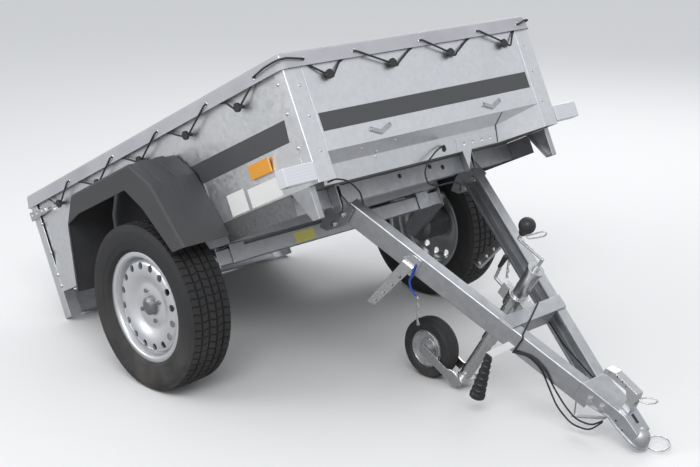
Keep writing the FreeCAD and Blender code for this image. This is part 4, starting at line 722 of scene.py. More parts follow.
# %% Drawbar pieces
BAR_NODES = {
    "drawbar_beam_right": 5.0, "drawbar_beam_left": 5.0, "hinge_plate_right": 1.0,
    "hinge_plate_left": 1.0, "drawbar_bridge": 2.5, "coupling": 2.5, "coupling_handle": 0.8,
    "drawbar_catches": 1.0, "plug_holder": 0.8, "plug": 1.0, "jockey_sleeve": 1.0,
    "jockey_clamp": 1.5, "jockey_crank": 1.2, "jockey_leg": 1.0, "jockey_arm": 1.0,
    "jockey_rim": 1.0, "hub_right": 1.5, "hub_left": 1.5,
}
dress_all(BAR_NODES)
print("drawbar pieces:", len(BAR_NODES))

# %% [markdown]
# The round hooks and the solid jockey tyre are simple turned shapes that the CAD
# already has, so they keep their meshes and only get a finish in their own slots.

# %% Finishes on CAD shapes that stay
def finish_in_place(node):
    mesh = frame["nodes"][node].data
    finish = FINISH_OF[SLOT_OF[node]]
    if not mesh.materials:
        mesh.materials.append(finish)
    for index in range(len(mesh.materials)):
        mesh.materials[index] = finish


kept_nodes = [node for node in frame["nodes"] if node not in FOLD_NODES and node not in BAR_NODES]
for node in kept_nodes:
    finish_in_place(node)
print("kept:", kept_nodes)

# %% [markdown]
# A tyre is a turned shape everywhere except in its tread, so it is made as one grid
# that runs round the axle. Across the grid goes the section: bead, bulging sidewall,
# shoulder and five tread ribs between four grooves. Round it go seven columns in each
# pitch, two of which are pushed in on the ribs to make the narrow slots between the
# blocks. Making the grid by hand keeps the edges of the blocks crisp, which a bump
# pattern would lose at the outline.

# %% Tyres
TYRE_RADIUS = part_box("tyre_right")[1].z - JOINTS["wheel_right_spin"]["pos_m"][2]
TYRE_HALF = (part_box("tyre_right")[1].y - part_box("tyre_right")[0].y) / 2
FLANGE_RADIUS = (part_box("rim_right")[1].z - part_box("rim_right")[0].z) / 2
SHOULDER = 15 * MM
TREAD_HALF = TYRE_HALF - SHOULDER
CROWN_DROP = 3.2 * MM
GROOVES = (-41 * MM, -15 * MM, 15 * MM, 41 * MM)
GROOVE_HALF = 3.6 * MM
GROOVE_DEPTH = 7 * MM
GROOVE_SLOPE = 1.0 * MM
SLOT_DEPTH = 4.5 * MM
PITCHES = 68
PITCH_COLUMNS = (0.0, 0.2, 0.38, 0.42, 0.56, 0.60, 0.80)
SLOT_COLUMNS = (3, 4)
SLANT = 0.010
SLANT_WAVES = 2.5


def tread_section():
    """(across, radius, kind) points over the tread; kind is rib or groove."""
    points = []
    places = [-TREAD_HALF]
    for groove in GROOVES:
        places += [groove - GROOVE_HALF, groove + GROOVE_HALF]
    places.append(TREAD_HALF)
    for index in range(0, len(places), 2):
        first, last = places[index], places[index + 1]
        for share in (0.0, 0.06, 0.5, 0.94, 1.0):
            points.append((first + (last - first) * share, 0.0, "rib"))
        if index + 2 < len(places):
            points.append((last + GROOVE_SLOPE, GROOVE_DEPTH, "groove"))
            points.append((places[index + 2] - GROOVE_SLOPE, GROOVE_DEPTH, "groove"))
    crowned = []
    for across, depth, kind in points:
        crown = TYRE_RADIUS - CROWN_DROP * (across / TREAD_HALF) ** 2
        crowned.append((across, crown - depth, kind))
    return crowned


def sidewall_section():
    """(across, radius) points from the tread's edge in to the bead, for one side."""
    bead = FLANGE_RADIUS
    high = TYRE_RADIUS - bead
    shape = ((0.905, 0.955), (0.935, 0.90), (0.965, 0.80), (0.975, 0.79), (0.985, 0.70),
             (1.0, 0.55), (1.0, 0.42), (0.985, 0.30), (0.975, 0.295), (0.955, 0.20),
             (0.93, 0.12), (0.925, 0.10), (0.88, 0.05), (0.80, 0.0), (0.76, -0.06), (0.70, -0.15))
    return [(TYRE_HALF * wide, bead + high * up) for wide, up in shape]


def make_tyre_mesh(name, centre):
    section = [(-across, radius, "side") for across, radius in reversed(sidewall_section())]
    section += tread_section()
    section += [(across, radius, "side") for across, radius in sidewall_section()]
    work = bmesh.new()
    rows = []
    for pitch in range(PITCHES):
        for column, share in enumerate(PITCH_COLUMNS):
            row = []
            for across, radius, kind in section:
                turn = (pitch + share) * math.tau / PITCHES
                if kind != "side":
                    turn += SLANT * math.sin(across / TREAD_HALF * math.pi * SLANT_WAVES)
                if kind == "rib" and column in SLOT_COLUMNS:
                    radius -= SLOT_DEPTH
                row.append(work.verts.new((centre[0] + radius * math.sin(turn), centre[1] + across,
                                           centre[2] + radius * math.cos(turn))))
            rows.append(row)
    sheet_faces(work, rows + rows[:1])
    mesh = mesh_of(work, name)
    mark_sharp(mesh, 38)
    return mesh


for side in ("right", "left"):
    centre = JOINTS["wheel_%s_spin" % side]["pos_m"]
    tyre = new_piece("tyre_%s_shown" % side, make_tyre_mesh("tyre_" + side, centre),
                     "wheel_" + side, TYRE_RUBBER)
    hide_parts("tyre_" + side)
print("tyre faces:", len(tyre.data.polygons))

# %% [markdown]
# The wheels are pressed and welded steel: a rolled barrel, and a dished disc with a
# ring of round vents and four bolts round a deep centre. Both are turned shapes, so
# each profile is spun with a fine step, and the vents are cut with one boolean of
# short tubes. In the real pressing each vent has a narrow lip turned inward, too
# small to tell from a step away, so the cut edges are only marked sharp.

# %% Steel wheels
RIM_STEPS = 160
VENT_COUNT = 16
VENT_RADIUS = 11.5 * MM
VENT_CIRCLE = 132 * MM
VENT_OUT = 40 * MM
VENT_DEPTH = 60 * MM


def spin_profile(profile, centre, outward):
    """A closed ring mesh from (across, radius) points in mm; across grows outward."""
    work = bmesh.new()
    rings = []
    for step in range(RIM_STEPS):
        turn = math.tau * step / RIM_STEPS
        ring = []
        for across, radius in profile:
            ring.append(work.verts.new((
                centre[0] + radius * MM * math.sin(turn), centre[1] + across * MM * outward,
                centre[2] + radius * MM * math.cos(turn))))
        rings.append(ring)
    for ring, following in zip(rings, rings[1:] + rings[:1]):
        ring_faces(work, ring, following)
    return mesh_of(work, "spun")


def vent_cutters(centre, outward):
    """Short tubes along the axle, one through the disc at each vent."""
    work = bmesh.new()
    upright = Matrix.Rotation(math.pi / 2, 4, "X")
    for index in range(VENT_COUNT):
        turn = math.tau * (index + 0.5) / VENT_COUNT
        place = Vector((VENT_CIRCLE * math.sin(turn), VENT_OUT * outward,
                        VENT_CIRCLE * math.cos(turn)))
        bmesh.ops.create_cone(work, cap_ends=True, segments=28, radius1=VENT_RADIUS,
                              radius2=VENT_RADIUS, depth=VENT_DEPTH,
                              matrix=Matrix.Translation(Vector(centre) + place) @ upright)
    return bpy.data.objects.new("vent_cutters", mesh_of(work, "vent_cutters", turn_out=False))


BARREL = ((61, 182), (60, 183), (57.5, 182.5), (57, 180), (56.5, 170), (54, 166), (50, 165),
          (34, 164), (29, 162), (24, 156), (19, 153.5), (-14, 153.5), (-19, 156), (-24, 162),
          (-29, 164.5), (-50, 165), (-54, 167), (-56.5, 171), (-57, 181), (-58, 182.8), (-60, 183),
          (-61, 181), (-61, 168), (-58, 163), (-54, 161), (-30, 160.5), (-26, 158), (-20, 152),
          (-15, 149.5), (20, 149.5), (25, 152.5), (30, 158.5), (35, 160), (50, 161), (57, 162),
          (60.5, 166), (61, 170))
DISC = ((30, 29), (30.5, 40), (31, 58), (30, 66), (29, 72), (31, 80), (37, 92), (43, 104),
        (46.5, 115), (47, 124), (46, 134), (43, 140), (38, 144), (30, 146.5), (14, 147.5),
        (14, 150.5), (32, 150.3), (42, 148), (48, 143), (50, 136), (51.2, 126), (50.8, 113),
        (47, 101), (41, 89), (35.5, 79), (33.5, 72), (34.5, 66), (36, 58), (36, 44), (35.5, 33),
        (33.5, 29))


def make_wheel(side, outward):
    """The vented disc and the barrel of one wheel; gives the disc."""
    centre = JOINTS["wheel_%s_spin" % side]["pos_m"]
    cutters = vent_cutters(centre, outward)
    bpy.context.scene.collection.objects.link(cutters)
    disc = new_piece("rim_%s_disc" % side, spin_profile(DISC, centre, outward), "wheel_" + side,
                     SILVER_PAINT)
    cut = disc.modifiers.new("vents", "BOOLEAN")
    cut.operation = "DIFFERENCE"
    cut.object = cutters
    disc.data = baked(disc)
    paint(disc.data, SILVER_PAINT)
    bpy.data.objects.remove(cutters)
    mark_sharp(disc.data, 40)
    barrel = new_piece("rim_%s_barrel" % side, spin_profile(BARREL, centre, outward),
                       "wheel_" + side, SILVER_PAINT)
    smooth_all(barrel.data)
    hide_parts("rim_" + side)
    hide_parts("rim_" + side)
    return disc


for side, outward in (("right", -1), ("left", 1)):
    wheel = make_wheel(side, outward)
print("wheel disc faces:", len(wheel.data.polygons))

# %% [markdown]
# The cover is one piece of coated cloth sewn into a shallow lid. It is pulled tight
# over the top rails by an elastic cord, so it sags a little in the middle, and its
# skirt stands away from the wall wherever the cord runs behind it. A simulation
# would give loose folds that a tight cover does not have, so the cloth is a grid
# with its sag, its slack waves and its flare written as heights. The rear skirt is
# a flap of its own, because it is unhooked before the tailgate opens.

# %% Cover
BOX_LENGTH = 1600
BOX_HALF = 540
RAIL_TOP = 376.6
CLOTH = 1.2
SEAM_RISE = 1.4
TOP_RISE = 2.2
SKIRT_BOTTOM = 332
HEM_BAND = 11
HEM_STEP = 0.9
WALL_GAP = 1.0
SKIRT_FLARE = 7.6
SKIRT_WAVE = 1.1
CORNER_ROUND = 14
TOP_SAG = 7
SAG_BORDER = 90
TOP_BORDER = 18
REAR_BORDER = 6
TOP_ROWS = 46
TOP_COLUMNS = 34
FLAP_COLUMNS = 90
FLAP_SHIFT = 900
EDGE_STEP = 12.0
SIDE_EYELETS = (-119, -376, -665, -958, -1271)
END_EYELETS = (-463, -262, 21, 286, 489)
SIDE_KNOBS = (-235, -516, -805, -1095, -1379)
END_KNOBS = (-378, -113, 149, 417)
REAR_EYELETS = (-489, -250, 18, 284, 489)
EYELET_LEVEL = 350
KNOB_LEVEL = 295


def slack(along, across, size):
    """Shallow uneven waves of cloth that is tight but not quite even."""
    place = Vector((along * 0.004, across * 0.0075, 3.1))
    fine = Vector((along * 0.016, across * 0.012, 7.7))
    return size * (noise.noise(place) * 2.4 + noise.noise(fine) * 0.7)


def skirt_out(level, along_edge):
    """How far the skirt stands off the wall: nothing at the rail, most at the hem."""
    share = min(1.0, max(0.0, (RAIL_TOP - level) / (RAIL_TOP - SKIRT_BOTTOM)))
    wave = noise.noise(Vector((along_edge * 0.021, level * 0.02, 1.3))) * SKIRT_WAVE
    hem = HEM_STEP if level < SKIRT_BOTTOM + HEM_BAND else 0.0
    return WALL_GAP + SKIRT_FLARE * share ** 0.8 + wave * share + hem


def edge_route():
    """Points of the box's outline from the right rear corner round the front, with normals."""
    route = []
    count = int(BOX_LENGTH / EDGE_STEP)
    for index in range(count + 1):
        route.append((-BOX_LENGTH + (BOX_LENGTH - CORNER_ROUND) * index / count, -BOX_HALF, 0, -1))
    for index in range(1, 8):
        turn = math.radians(90 * index / 8)
        route.append((-CORNER_ROUND + CORNER_ROUND * math.sin(turn),
                      -BOX_HALF + CORNER_ROUND - CORNER_ROUND * math.cos(turn),
                      math.sin(turn), -math.cos(turn)))
    count = int(2 * BOX_HALF / EDGE_STEP)
    for index in range(count + 1):
        across = -(BOX_HALF - CORNER_ROUND) * (1 - 2 * index / count)
        route.append((0, across, 1, 0))
    mirrored = [(along, -across, ahead, -side) for along, across, ahead, side in route]
    far = [point for point in reversed(mirrored) if point[2] < 0.999]
    return route + far


SKIRT_LEVELS = (RAIL_TOP - 1.5, 371, 364, 356, 349, 343.5, 343, 337, SKIRT_BOTTOM + 0.5,
                SKIRT_BOTTOM)


def cover_mesh():
    """The sewn lid: a top grid whose border is stitched to the skirt rows."""
    work = bmesh.new()
    route = edge_route()
    rows = []
    length = 0.0
    for index, (along, across, ahead, side) in enumerate(route):
        if index:
            length += math.hypot(along - route[index - 1][0], across - route[index - 1][1])
        seam = in_box(along - CLOTH * ahead, across - CLOTH * side, RAIL_TOP + SEAM_RISE)
        column = [work.verts.new(seam)]
        for level in SKIRT_LEVELS:
            out = skirt_out(level, length)
            column.append(work.verts.new(in_box(along + out * ahead, across + out * side, level)))
        rows.append(column)
    sheet_faces(work, rows)
    grid = []
    for row in range(TOP_ROWS + 1):
        span = BOX_LENGTH - REAR_BORDER - TOP_BORDER
        along = -BOX_LENGTH + REAR_BORDER + span * row / TOP_ROWS
        lengthways = math.sin(math.pi * min(1, max(0, -along / BOX_LENGTH)))
        line = []
        for column in range(TOP_COLUMNS + 1):
            across = (BOX_HALF - TOP_BORDER) * (2 * column / TOP_COLUMNS - 1)
            crossways = math.sin(math.pi * (across + BOX_HALF) / (2 * BOX_HALF))
            sag = TOP_SAG * (lengthways * crossways) ** 0.7
            loose = min(1.0, (BOX_HALF - abs(across)) / SAG_BORDER)
            level = RAIL_TOP + TOP_RISE - sag * loose + slack(along, across, loose)
            line.append(work.verts.new(in_box(along, across, level)))
        grid.append(line)
    sheet_faces(work, grid)
    rim = [column[0] for column in rows]
    border = [line[0] for line in grid] + grid[-1][1:] + [line[-1] for line in reversed(grid[:-1])]
    edges = [work.edges.get((a, b)) for a, b in zip(rim, rim[1:])]
    edges += [work.edges.get((a, b)) for a, b in zip(border, border[1:])]
    bmesh.ops.bridge_loops(work, edges=[edge for edge in edges if edge])
    return mesh_of(work, "cover_cloth")


def thicken(piece, thickness):
    """Gives a sheet its thickness in mm, on the side that its faces look to."""
    solid = piece.modifiers.new("thickness", "SOLIDIFY")
    solid.thickness = thickness * MM
    solid.offset = 1.0
    piece.data = baked(piece)
    mark_sharp(piece.data, 60)


cover = new_piece("cover_cloth", cover_mesh(), "box", TARPAULIN)
thicken(cover, CLOTH)
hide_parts("cover")


def flap_mesh():
    """The rear skirt: a strip that hangs behind the tailgate from the cover's edge."""
    work = bmesh.new()
    columns = []
    for index in range(FLAP_COLUMNS + 1):
        across = (BOX_HALF - 2) * (2 * index / FLAP_COLUMNS - 1)
        column = []
        for level in (RAIL_TOP + SEAM_RISE,) + SKIRT_LEVELS:
            out = skirt_out(level, across + FLAP_SHIFT) - (SEAM_RISE if level > RAIL_TOP else 0)
            column.append(work.verts.new(in_box(-BOX_LENGTH - out, across, level)))
        columns.append(column)
    sheet_faces(work, columns)
    return mesh_of(work, "cover_flap")


flap = new_piece("cover_flap_cloth", flap_mesh(), "box", TARPAULIN)
thicken(flap, CLOTH)
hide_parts("cover_rear_flap")
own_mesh(flap)
print("cover faces:", len(cover.data.polygons), "flap faces:", len(flap.data.polygons))

# %% [markdown]
# The elastic cord goes round the box in one length. At every hook it comes down on
# the outside of the skirt from an eyelet, turns round the hook, and goes back up
# behind the skirt to the next eyelet, where it comes out again. Each stretch between
# those points is straight, because the cord is tight, so a tube along the route
# with short rounded turns is all that it needs.

# %% Lacing and eyelets
CORD_RADIUS = 3.0
OUTSIDE = 15.5
BEHIND = 4.2
PAST_HEM = BEHIND + 0.4
BELOW_HEM = SKIRT_BOTTOM - 8
FIRST_BELOW_HEM = SKIRT_BOTTOM - 6
AT_HOOK = 10.0
SIDE_CROSSINGS = (-165, -285)
FRONT_CROSSINGS = (-436, -330)
LOOP_RADIUS = 9.5
LOOP_STEPS = 7
EYELET_RADIUS = 6.6
EYELET_WIRE = 2.2
RING_OUT = 7.2


def loop_round(hook, first, last):
    """Points under a hook, from the side of one eyelet to the side of the next."""
    points = []
    toward = 1 if last > first else -1
    for index in range(LOOP_STEPS):
        turn = math.radians(-160 + 140 * index / (LOOP_STEPS - 1))
        points.append((hook + toward * LOOP_RADIUS * math.cos(turn),
                       KNOB_LEVEL + LOOP_RADIUS * math.sin(turn)))
    return points


def laced_run(hooks, eyelets, to_point):
    """Points from the first eyelet round each hook; outside going down, behind going up."""
    points = []
    for index, hook in enumerate(hooks):
        start = eyelets[index]
        following = eyelets[index + 1] if index + 1 < len(eyelets) else 2 * hook - start
        points.append(to_point(start, EYELET_LEVEL, BEHIND))
        points.append(to_point(start, EYELET_LEVEL - 1, OUTSIDE))
        for place, level in loop_round(hook, start, following):
            points.append(to_point(place, level, AT_HOOK))
        share = (BELOW_HEM - KNOB_LEVEL) / (EYELET_LEVEL - KNOB_LEVEL)
        points.append(to_point(hook + (following - hook) * share, BELOW_HEM, PAST_HEM))
    points.append(to_point(following, EYELET_LEVEL, BEHIND))
    return points


def on_right(place, level, out):
    return in_box(place, -(BOX_HALF + out), level)


def on_left(place, level, out):
    return in_box(place, BOX_HALF + out, level)


def on_front(place, level, out):
    return in_box(out, place, level)


def on_rear(place, level, out):
    return in_box(-BOX_LENGTH - out, place, level)


def run_from_corner(hooks, eyelets, crossings, to_point):
    """A panel's route from its corner on; both legs of the first hook go behind the skirt,
    and pass its hem at the two crossings."""
    legs = [to_point(place, FIRST_BELOW_HEM, PAST_HEM) for place in crossings]
    points = [to_point(eyelets[0], EYELET_LEVEL, BEHIND), legs[0]]
    points += [to_point(place, level, AT_HOOK)
               for place, level in loop_round(hooks[0], eyelets[0], eyelets[1])]
    points.append(legs[1])
    return points + laced_run(hooks[1:], eyelets[1:], to_point)


def corner_run(side, last):
    """Outside the skirt round a front corner, from the side's eyelet to the front's."""
    over = EYELET_LEVEL + 10
    out = OUTSIDE - 1
    wall = BOX_HALF + out
    return points_on("box", [
        (SIDE_EYELETS[0], side * wall, EYELET_LEVEL), (-60, side * wall, over - 1),
        (-18, side * wall, over), (2, side * (wall - 2), over),
        (out - 3, side * (BOX_HALF + 3), over), (out, side * (BOX_HALF - 16), over),
        (out, last, EYELET_LEVEL)])


def tube(name, points, radius, finish, body="box", sides=4, closed=False):
    """A round cord or wire along points, as real mesh."""
    data = bpy.data.curves.new(name, "CURVE")
    data.dimensions = "3D"
    data.bevel_depth = radius * MM
    data.bevel_resolution = sides
    data.use_fill_caps = True
    line = data.splines.new("POLY")
    line.points.add(len(points) - 1)
    for point, place in zip(line.points, points):
        point.co = (*place, 1)
    line.use_cyclic_u = closed
    holder = bpy.data.objects.new(name, data)
    bpy.context.scene.collection.objects.link(holder)
    mesh = baked(holder)
    bpy.data.objects.remove(holder)
    mesh.name = name
    mark_sharp(mesh, 60)
    return new_piece(name, mesh, body, finish)


def eased(points, radius=6.0, steps=4):
    """Cuts each corner of a route with a short curve, as a cord turns."""
    smooth = [points[0]]
    for before, corner, after in zip(points, points[1:], points[2:]):
        into = corner - before
        out = after - corner
        reach = min(radius * MM, into.length * 0.4, out.length * 0.4)
        start = corner - into.normalized() * reach
        end = corner + out.normalized() * reach
        for index in range(steps + 1):
            share = index / steps
            smooth.append(start.lerp(corner, share).lerp(corner.lerp(end, share), share))
    smooth.append(points[-1])
    return smooth


right_run = run_from_corner(SIDE_KNOBS, SIDE_EYELETS, SIDE_CROSSINGS, on_right)
left_run = run_from_corner(SIDE_KNOBS, SIDE_EYELETS, SIDE_CROSSINGS, on_left)
front_run = run_from_corner(END_KNOBS, END_EYELETS, FRONT_CROSSINGS, on_front)
route = right_run[::-1] + corner_run(-1, END_EYELETS[0]) + front_run
route += corner_run(1, END_EYELETS[-1])[::-1] + left_run
lacing = tube("lacing_cord", eased(route), CORD_RADIUS, BLACK_CORD)
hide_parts("lacing")
rear_route = laced_run(END_KNOBS, REAR_EYELETS, on_rear)
rear_cord = tube("lacing_rear_cord", eased(rear_route), CORD_RADIUS, BLACK_CORD)
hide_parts("lacing_rear")
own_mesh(rear_cord)


def ring_piece(name, body, rings, around=20):
    """Rings of (centre, axis, radius, thickness), somewhat flat, as one bright piece."""
    flatness = 0.6
    section = 8
    work = bmesh.new()
    for centre, axis, radius, thickness in rings:
        across = axis.orthogonal().normalized()
        upward = axis.cross(across).normalized()
        hoops = []
        for step in range(around):
            turn = math.tau * step / around
            spoke = across * math.cos(turn) + upward * math.sin(turn)
            hoop = []
            for part in range(section):
                bend = math.tau * part / section
                out = spoke * (radius + thickness * math.cos(bend)) * MM
                lift = axis * thickness * math.sin(bend) * MM * flatness
                hoop.append(work.verts.new(centre + out + lift))
            hoops.append(hoop)
        for hoop, following in zip(hoops, hoops[1:] + hoops[:1]):
            ring_faces(work, hoop, following)
    mesh = mesh_of(work, name)
    smooth_all(mesh)
    return new_piece(name, mesh, body, BRIGHT_ZINC)


def eyelets_along(places, to_point, axis):
    """Rings pressed into one face of the skirt, for ring_piece()."""
    return [(to_point(place, EYELET_LEVEL, RING_OUT), axis, EYELET_RADIUS, EYELET_WIRE)
            for place in places]


rings = eyelets_along(SIDE_EYELETS, on_right, -SIDEWAYS)
rings += eyelets_along(SIDE_EYELETS, on_left, SIDEWAYS)
rings += eyelets_along(END_EYELETS, on_front, box_ahead)
eyelets = ring_piece("cover_eyelets", "box", rings)
rear_rings = eyelets_along(REAR_EYELETS[:4], on_rear, -box_ahead)
rear_eyelets = ring_piece("cover_flap_eyelets", "box", rear_rings)
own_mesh(rear_eyelets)

print("lacing turns:", len(route), "eyelets:", len(rings) + len(rear_rings))

# %% [markdown]
# Printed bands and stickers are thin films that follow the sheet below them, folds
# and all. Each is cut as a grid between four corners and dropped onto the panel with
# a ray per point, then lifted by a fraction of a millimetre. The panels on the real
# trailer carry dark bands; here they are left bare, and the stickers are blank.

# %% Bands and stickers
from mathutils.bvhtree import BVHTree

FILM = 0.35
FILM_REACH = 0.06


def film_finish(name, colour, rough):
    finish, tree, surface = start_finish(name, colour, 0.0, rough)
    grain = use_group(tree, MOULDING_GRAIN, Grain_Scale=300.0)
    tone = blend_colours(tree, grain.outputs["Tone"], colour, lighter(colour, 1.12))
    fill(tree, surface, Base_Color=tone, Coat_Weight=0.3, Coat_Roughness=0.3)
    return finish


# dark print for the bands on the panels, and painted shadow in the front sill's seam
DARK_PRINT_AND_SHADE_FILM = film_finish("dark_print_and_shade_film", (0.060, 0.061, 0.065), 0.45)
WHITE_FILM = film_finish("white_film", (0.78, 0.78, 0.76), 0.42)
YELLOW_FILM = film_finish("yellow_film", (0.86, 0.80, 0.20), 0.45)
SURFACES = {}


def surface_tree(*nodes):
    """A search tree over CAD pieces, built once for each group of them."""
    if nodes not in SURFACES:
        points, faces = [], []
        for node in nodes:
            mesh = frame["nodes"][node].data
            start = len(points)
            points += [vertex.co.copy() for vertex in mesh.vertices]
            faces += [tuple(start + index for index in face.vertices) for face in mesh.polygons]
        SURFACES[nodes] = BVHTree.FromPolygons(points, faces)
    return SURFACES[nodes]


def film(name, nodes, places, inward, finish, body="box", fine=(16, 4)):
    """A thin film over four corners, dropped onto the given pieces along a direction."""
    tree = surface_tree(*nodes)
    corners = points_on(body, places)
    work = bmesh.new()
    grid = []
    for row in range(fine[0] + 1):
        low = corners[0].lerp(corners[1], row / fine[0])
        high = corners[3].lerp(corners[2], row / fine[0])
        line = []
        for column in range(fine[1] + 1):
            start = low.lerp(high, column / fine[1]) - inward * FILM_REACH
            hit = tree.ray_cast(start, inward, 2 * FILM_REACH)[0]
            line.append(None if hit is None else work.verts.new(hit - inward * FILM * MM))
        grid.append(line)
    sheet_faces(work, grid)
    mesh = mesh_of(work, name)
    smooth_all(mesh)
    return new_piece(name, mesh, body, finish)


def on_side(across, first, last, low, high, slant=0):
    """Four corners of an upright patch on a side of the box, for film()."""
    return [(first + slant, across, high), (last + slant, across, high), (last, across, low),
            (first, across, low)]


def guard_back(side, name):
    """The mudguard's own back sheet, flat against the wall inside the arch."""
    across = side * BOX_HALF
    knee = [(-1092, across, 178), (-547, across, 175)]
    lower = knee[::-1] + [(-1151, across, 2), (-492, across, 2)]
    upper = [(-624, across, 253), (-1012, across, 258)] + knee
    for label, corners in (("low", lower), ("high", upper)):
        piece = film("guard_back_%s_%s" % (label, name), ("wall_" + name,), corners,
                     -side * SIDEWAYS, GUARD_PLASTIC, fine=(24, 12))


for side, name in SIDES:
    film("side_band_" + name, ("wall_" + name,), on_side(side * BOX_HALF, -78, -720, 139, 204, 8),
         -side * SIDEWAYS, DARK_PRINT_AND_SHADE_FILM, fine=(60, 6))
for side, name in SIDES:
    guard_back(side, name)
for name, first, last, high in (("type", -428, -338, 73), ("load", -321, -165, 64)):
    film("sticker_" + name, ("wall_right",), on_side(-BOX_HALF, first, last, 6, high), SIDEWAYS,
         WHITE_FILM)
film("front_band", ("wall_front",), [(0, -480, 192), (0, 492, 192), (0, 492, 138), (0, -480, 138)],
     into_box, DARK_PRINT_AND_SHADE_FILM, fine=(60, 4))
label = [(-600, -190, -78), (-600, -102, -78), (-600, -102, -114), (-600, -190, -114)]
film("axle_label", ("axle_tube",), label, into_box, YELLOW_FILM, fine=(8, 4))
print("films on panels:", len(SURFACES))

# %% [markdown]
# Rivets, bolts and nuts hold the posts, hinges, coupling and hooks. Each is a low
# dome or a hexagon with a washer, dropped onto the piece that it clamps in the same
# way as the films, so that its underside touches whatever is there. Rows of them on
# one body are one mesh.

# %% Bolts and rivets
WASHER = 1.6
SUNK = 0.2
BEAM_START = 34
BEAM_FACE = 299.7
BEAM_TAPER = 0.2944


def stack(work, seat, axis, levels, count):
    """Rings at (radius, level) in mm above a seat, joined and closed at the top."""
    rings = [circle(work, seat, axis, radius, level, count) for radius, level in levels]
    for first, second in zip(rings, rings[1:]):
        ring_faces(work, first, second)
    work.faces.new(rings[-1])


def hexagon_bolt(work, seat, axis, size, height):
    """A hexagon head with a chamfer, on a round washer."""
    stack(work, seat, axis, ((size * 1.08, -0.3), (size * 1.08, 1.3), (size * 0.98, WASHER)), 20)
    stack(work, seat, axis, ((size, WASHER), (size, WASHER + height * 0.8),
                             (size * 0.86, WASHER + height)), 6)


def domed_rivet(work, seat, axis, radius, height):
    """A low dome, such as a rivet or a coach bolt has."""
    bends = [math.radians(90 * part / 5) for part in range(5)]
    stack(work, seat, axis,
          [(radius * math.cos(bend), height * math.sin(bend) - SUNK) for bend in bends], 16)


def fasteners(name, nodes, body, kind, places, inward, size, height, reach=0.04):
    """Heads of one kind, dropped from their places along a direction onto some pieces."""
    tree = surface_tree(*nodes)
    work = bmesh.new()
    for place in points_on(body, places):
        hit, normal = tree.ray_cast(place - inward * reach, inward, 2 * reach)[:2]
        if hit is None:
            print("no seat for", name, [round(value, 3) for value in place])
            continue
        kind(work, hit, normal if normal.dot(inward) < 0 else -normal, size, height)
    mesh = mesh_of(work, name)
    mark_sharp(mesh, 35)
    return new_piece(name, mesh, body, BRIGHT_ZINC)


def beam_face(along):
    """How far out a beam's outer face is, at a place along the drawbar, in mm."""
    return BEAM_FACE - (along - BEAM_START) * BEAM_TAPER


for side, name in SIDES:
    inward = -side * SIDEWAYS
    plate = ("hinge_plate_" + name,)
    fasteners("post_bolts_" + name, ("corner_posts_rear",), "box", domed_rivet,
              [(-1556, side * BOX_HALF, level) for level in (22, 64, 150, 260)], inward, 7.5, 4.5)
    fasteners("front_post_bolts_" + name, ("corner_posts_front",), "box", domed_rivet,
              [(-40, side * BOX_HALF, level) for level in (26, 112, 213, 300)], inward, 6, 3.2)
    fasteners("hinge_bolts_" + name, plate, "drawbar", hexagon_bolt,
              [(-12, side * 303, -17), (31, side * 303, -10), (20, side * 303, -62)], inward, 9, 7)
    fasteners("hinge_nuts_" + name, plate, "drawbar", hexagon_bolt,
              [(31, side * 250, -10), (20, side * 250, -62)], -inward, 9, 9, reach=0.06)
    fasteners("nose_bolts_" + name, ("drawbar_beam_" + name, "coupling"), "drawbar", hexagon_bolt,
              [(along, side * beam_face(along), up) for along, up in ((906, 16), (945, 24))],
              inward, 10, 8)
fasteners("front_rivets", ("corner_posts_front",), "box", domed_rivet,
          [(6, across, level) for across in (-497, 497) for level in (87, 191, 280, 340)],
          into_box, 5, 2.6)
print("fasteners placed")

# %% [markdown]
# Some pieces are two materials in one shape: the crank ends in a black ball grip and
# the clamp in a ribbed rubber one. The grip is found by its place on the drawbar, so
# the faces inside a box-shaped region take a second finish.

# %% Grips
def recolour(name, low, high, finish):
    """Gives the faces of a drawbar piece between two corners, in mm, another finish."""
    mesh = bpy.data.objects[name].data
    mesh.materials.append(finish)
    changed = 0
    for face in mesh.polygons:
        place = DRAWBAR.inverted() @ face.center / MM
        if all(low[axis] < place[axis] < high[axis] for axis in range(3)):
            face.material_index = len(mesh.materials) - 1
            changed += 1
    return changed


for part, low, high in (("crank", (395, -30, 200), (455, 30, 270)),
                        ("clamp", (405, -12, 55), (436, 12, 115))):
    print(part, "grip faces:", recolour("jockey_%s_shown" % part, low, high, BLACK_PLASTIC_AND_SHADE))

# %% [markdown]
# The coupling lever is a pressed channel with a row of holes, and a slot in the roof shows the wear
# gauge. Both openings are small and dark with shade, so the shade in them is painted: shallow black
# discs and a black film, a hair above the metal. Wire loops hang from the lever, the nose and the
# crank: steel rope, bent round, lying as it falls.

# %% Coupling details
def spots(name, nodes, body, places, inward, size, height=0.3):
    """Flat round marks seen as dark discs: painted shade in holes, and black plugs and grommets."""
    piece = fasteners(name, nodes, body, domed_rivet, places, inward, size, height)
    # black here is painted shade for holes, and the rubber's own colour for grommets
    paint(piece.data, BLACK_PLASTIC_AND_SHADE)


def roped(name, places, radius, body="drawbar", finish=BRIGHT_ZINC,
          ease=9, closed=True):
    """A wire rope or cable through places, with every corner eased into a curve."""
    points = points_on(body, places)
    if closed:
        points = points + points[:2]
    path = eased(points, ease, 5)
    if closed:
        path = path[len(path) // len(points):-1]
    tube(name, path, radius, finish, body=body, sides=3, closed=closed)
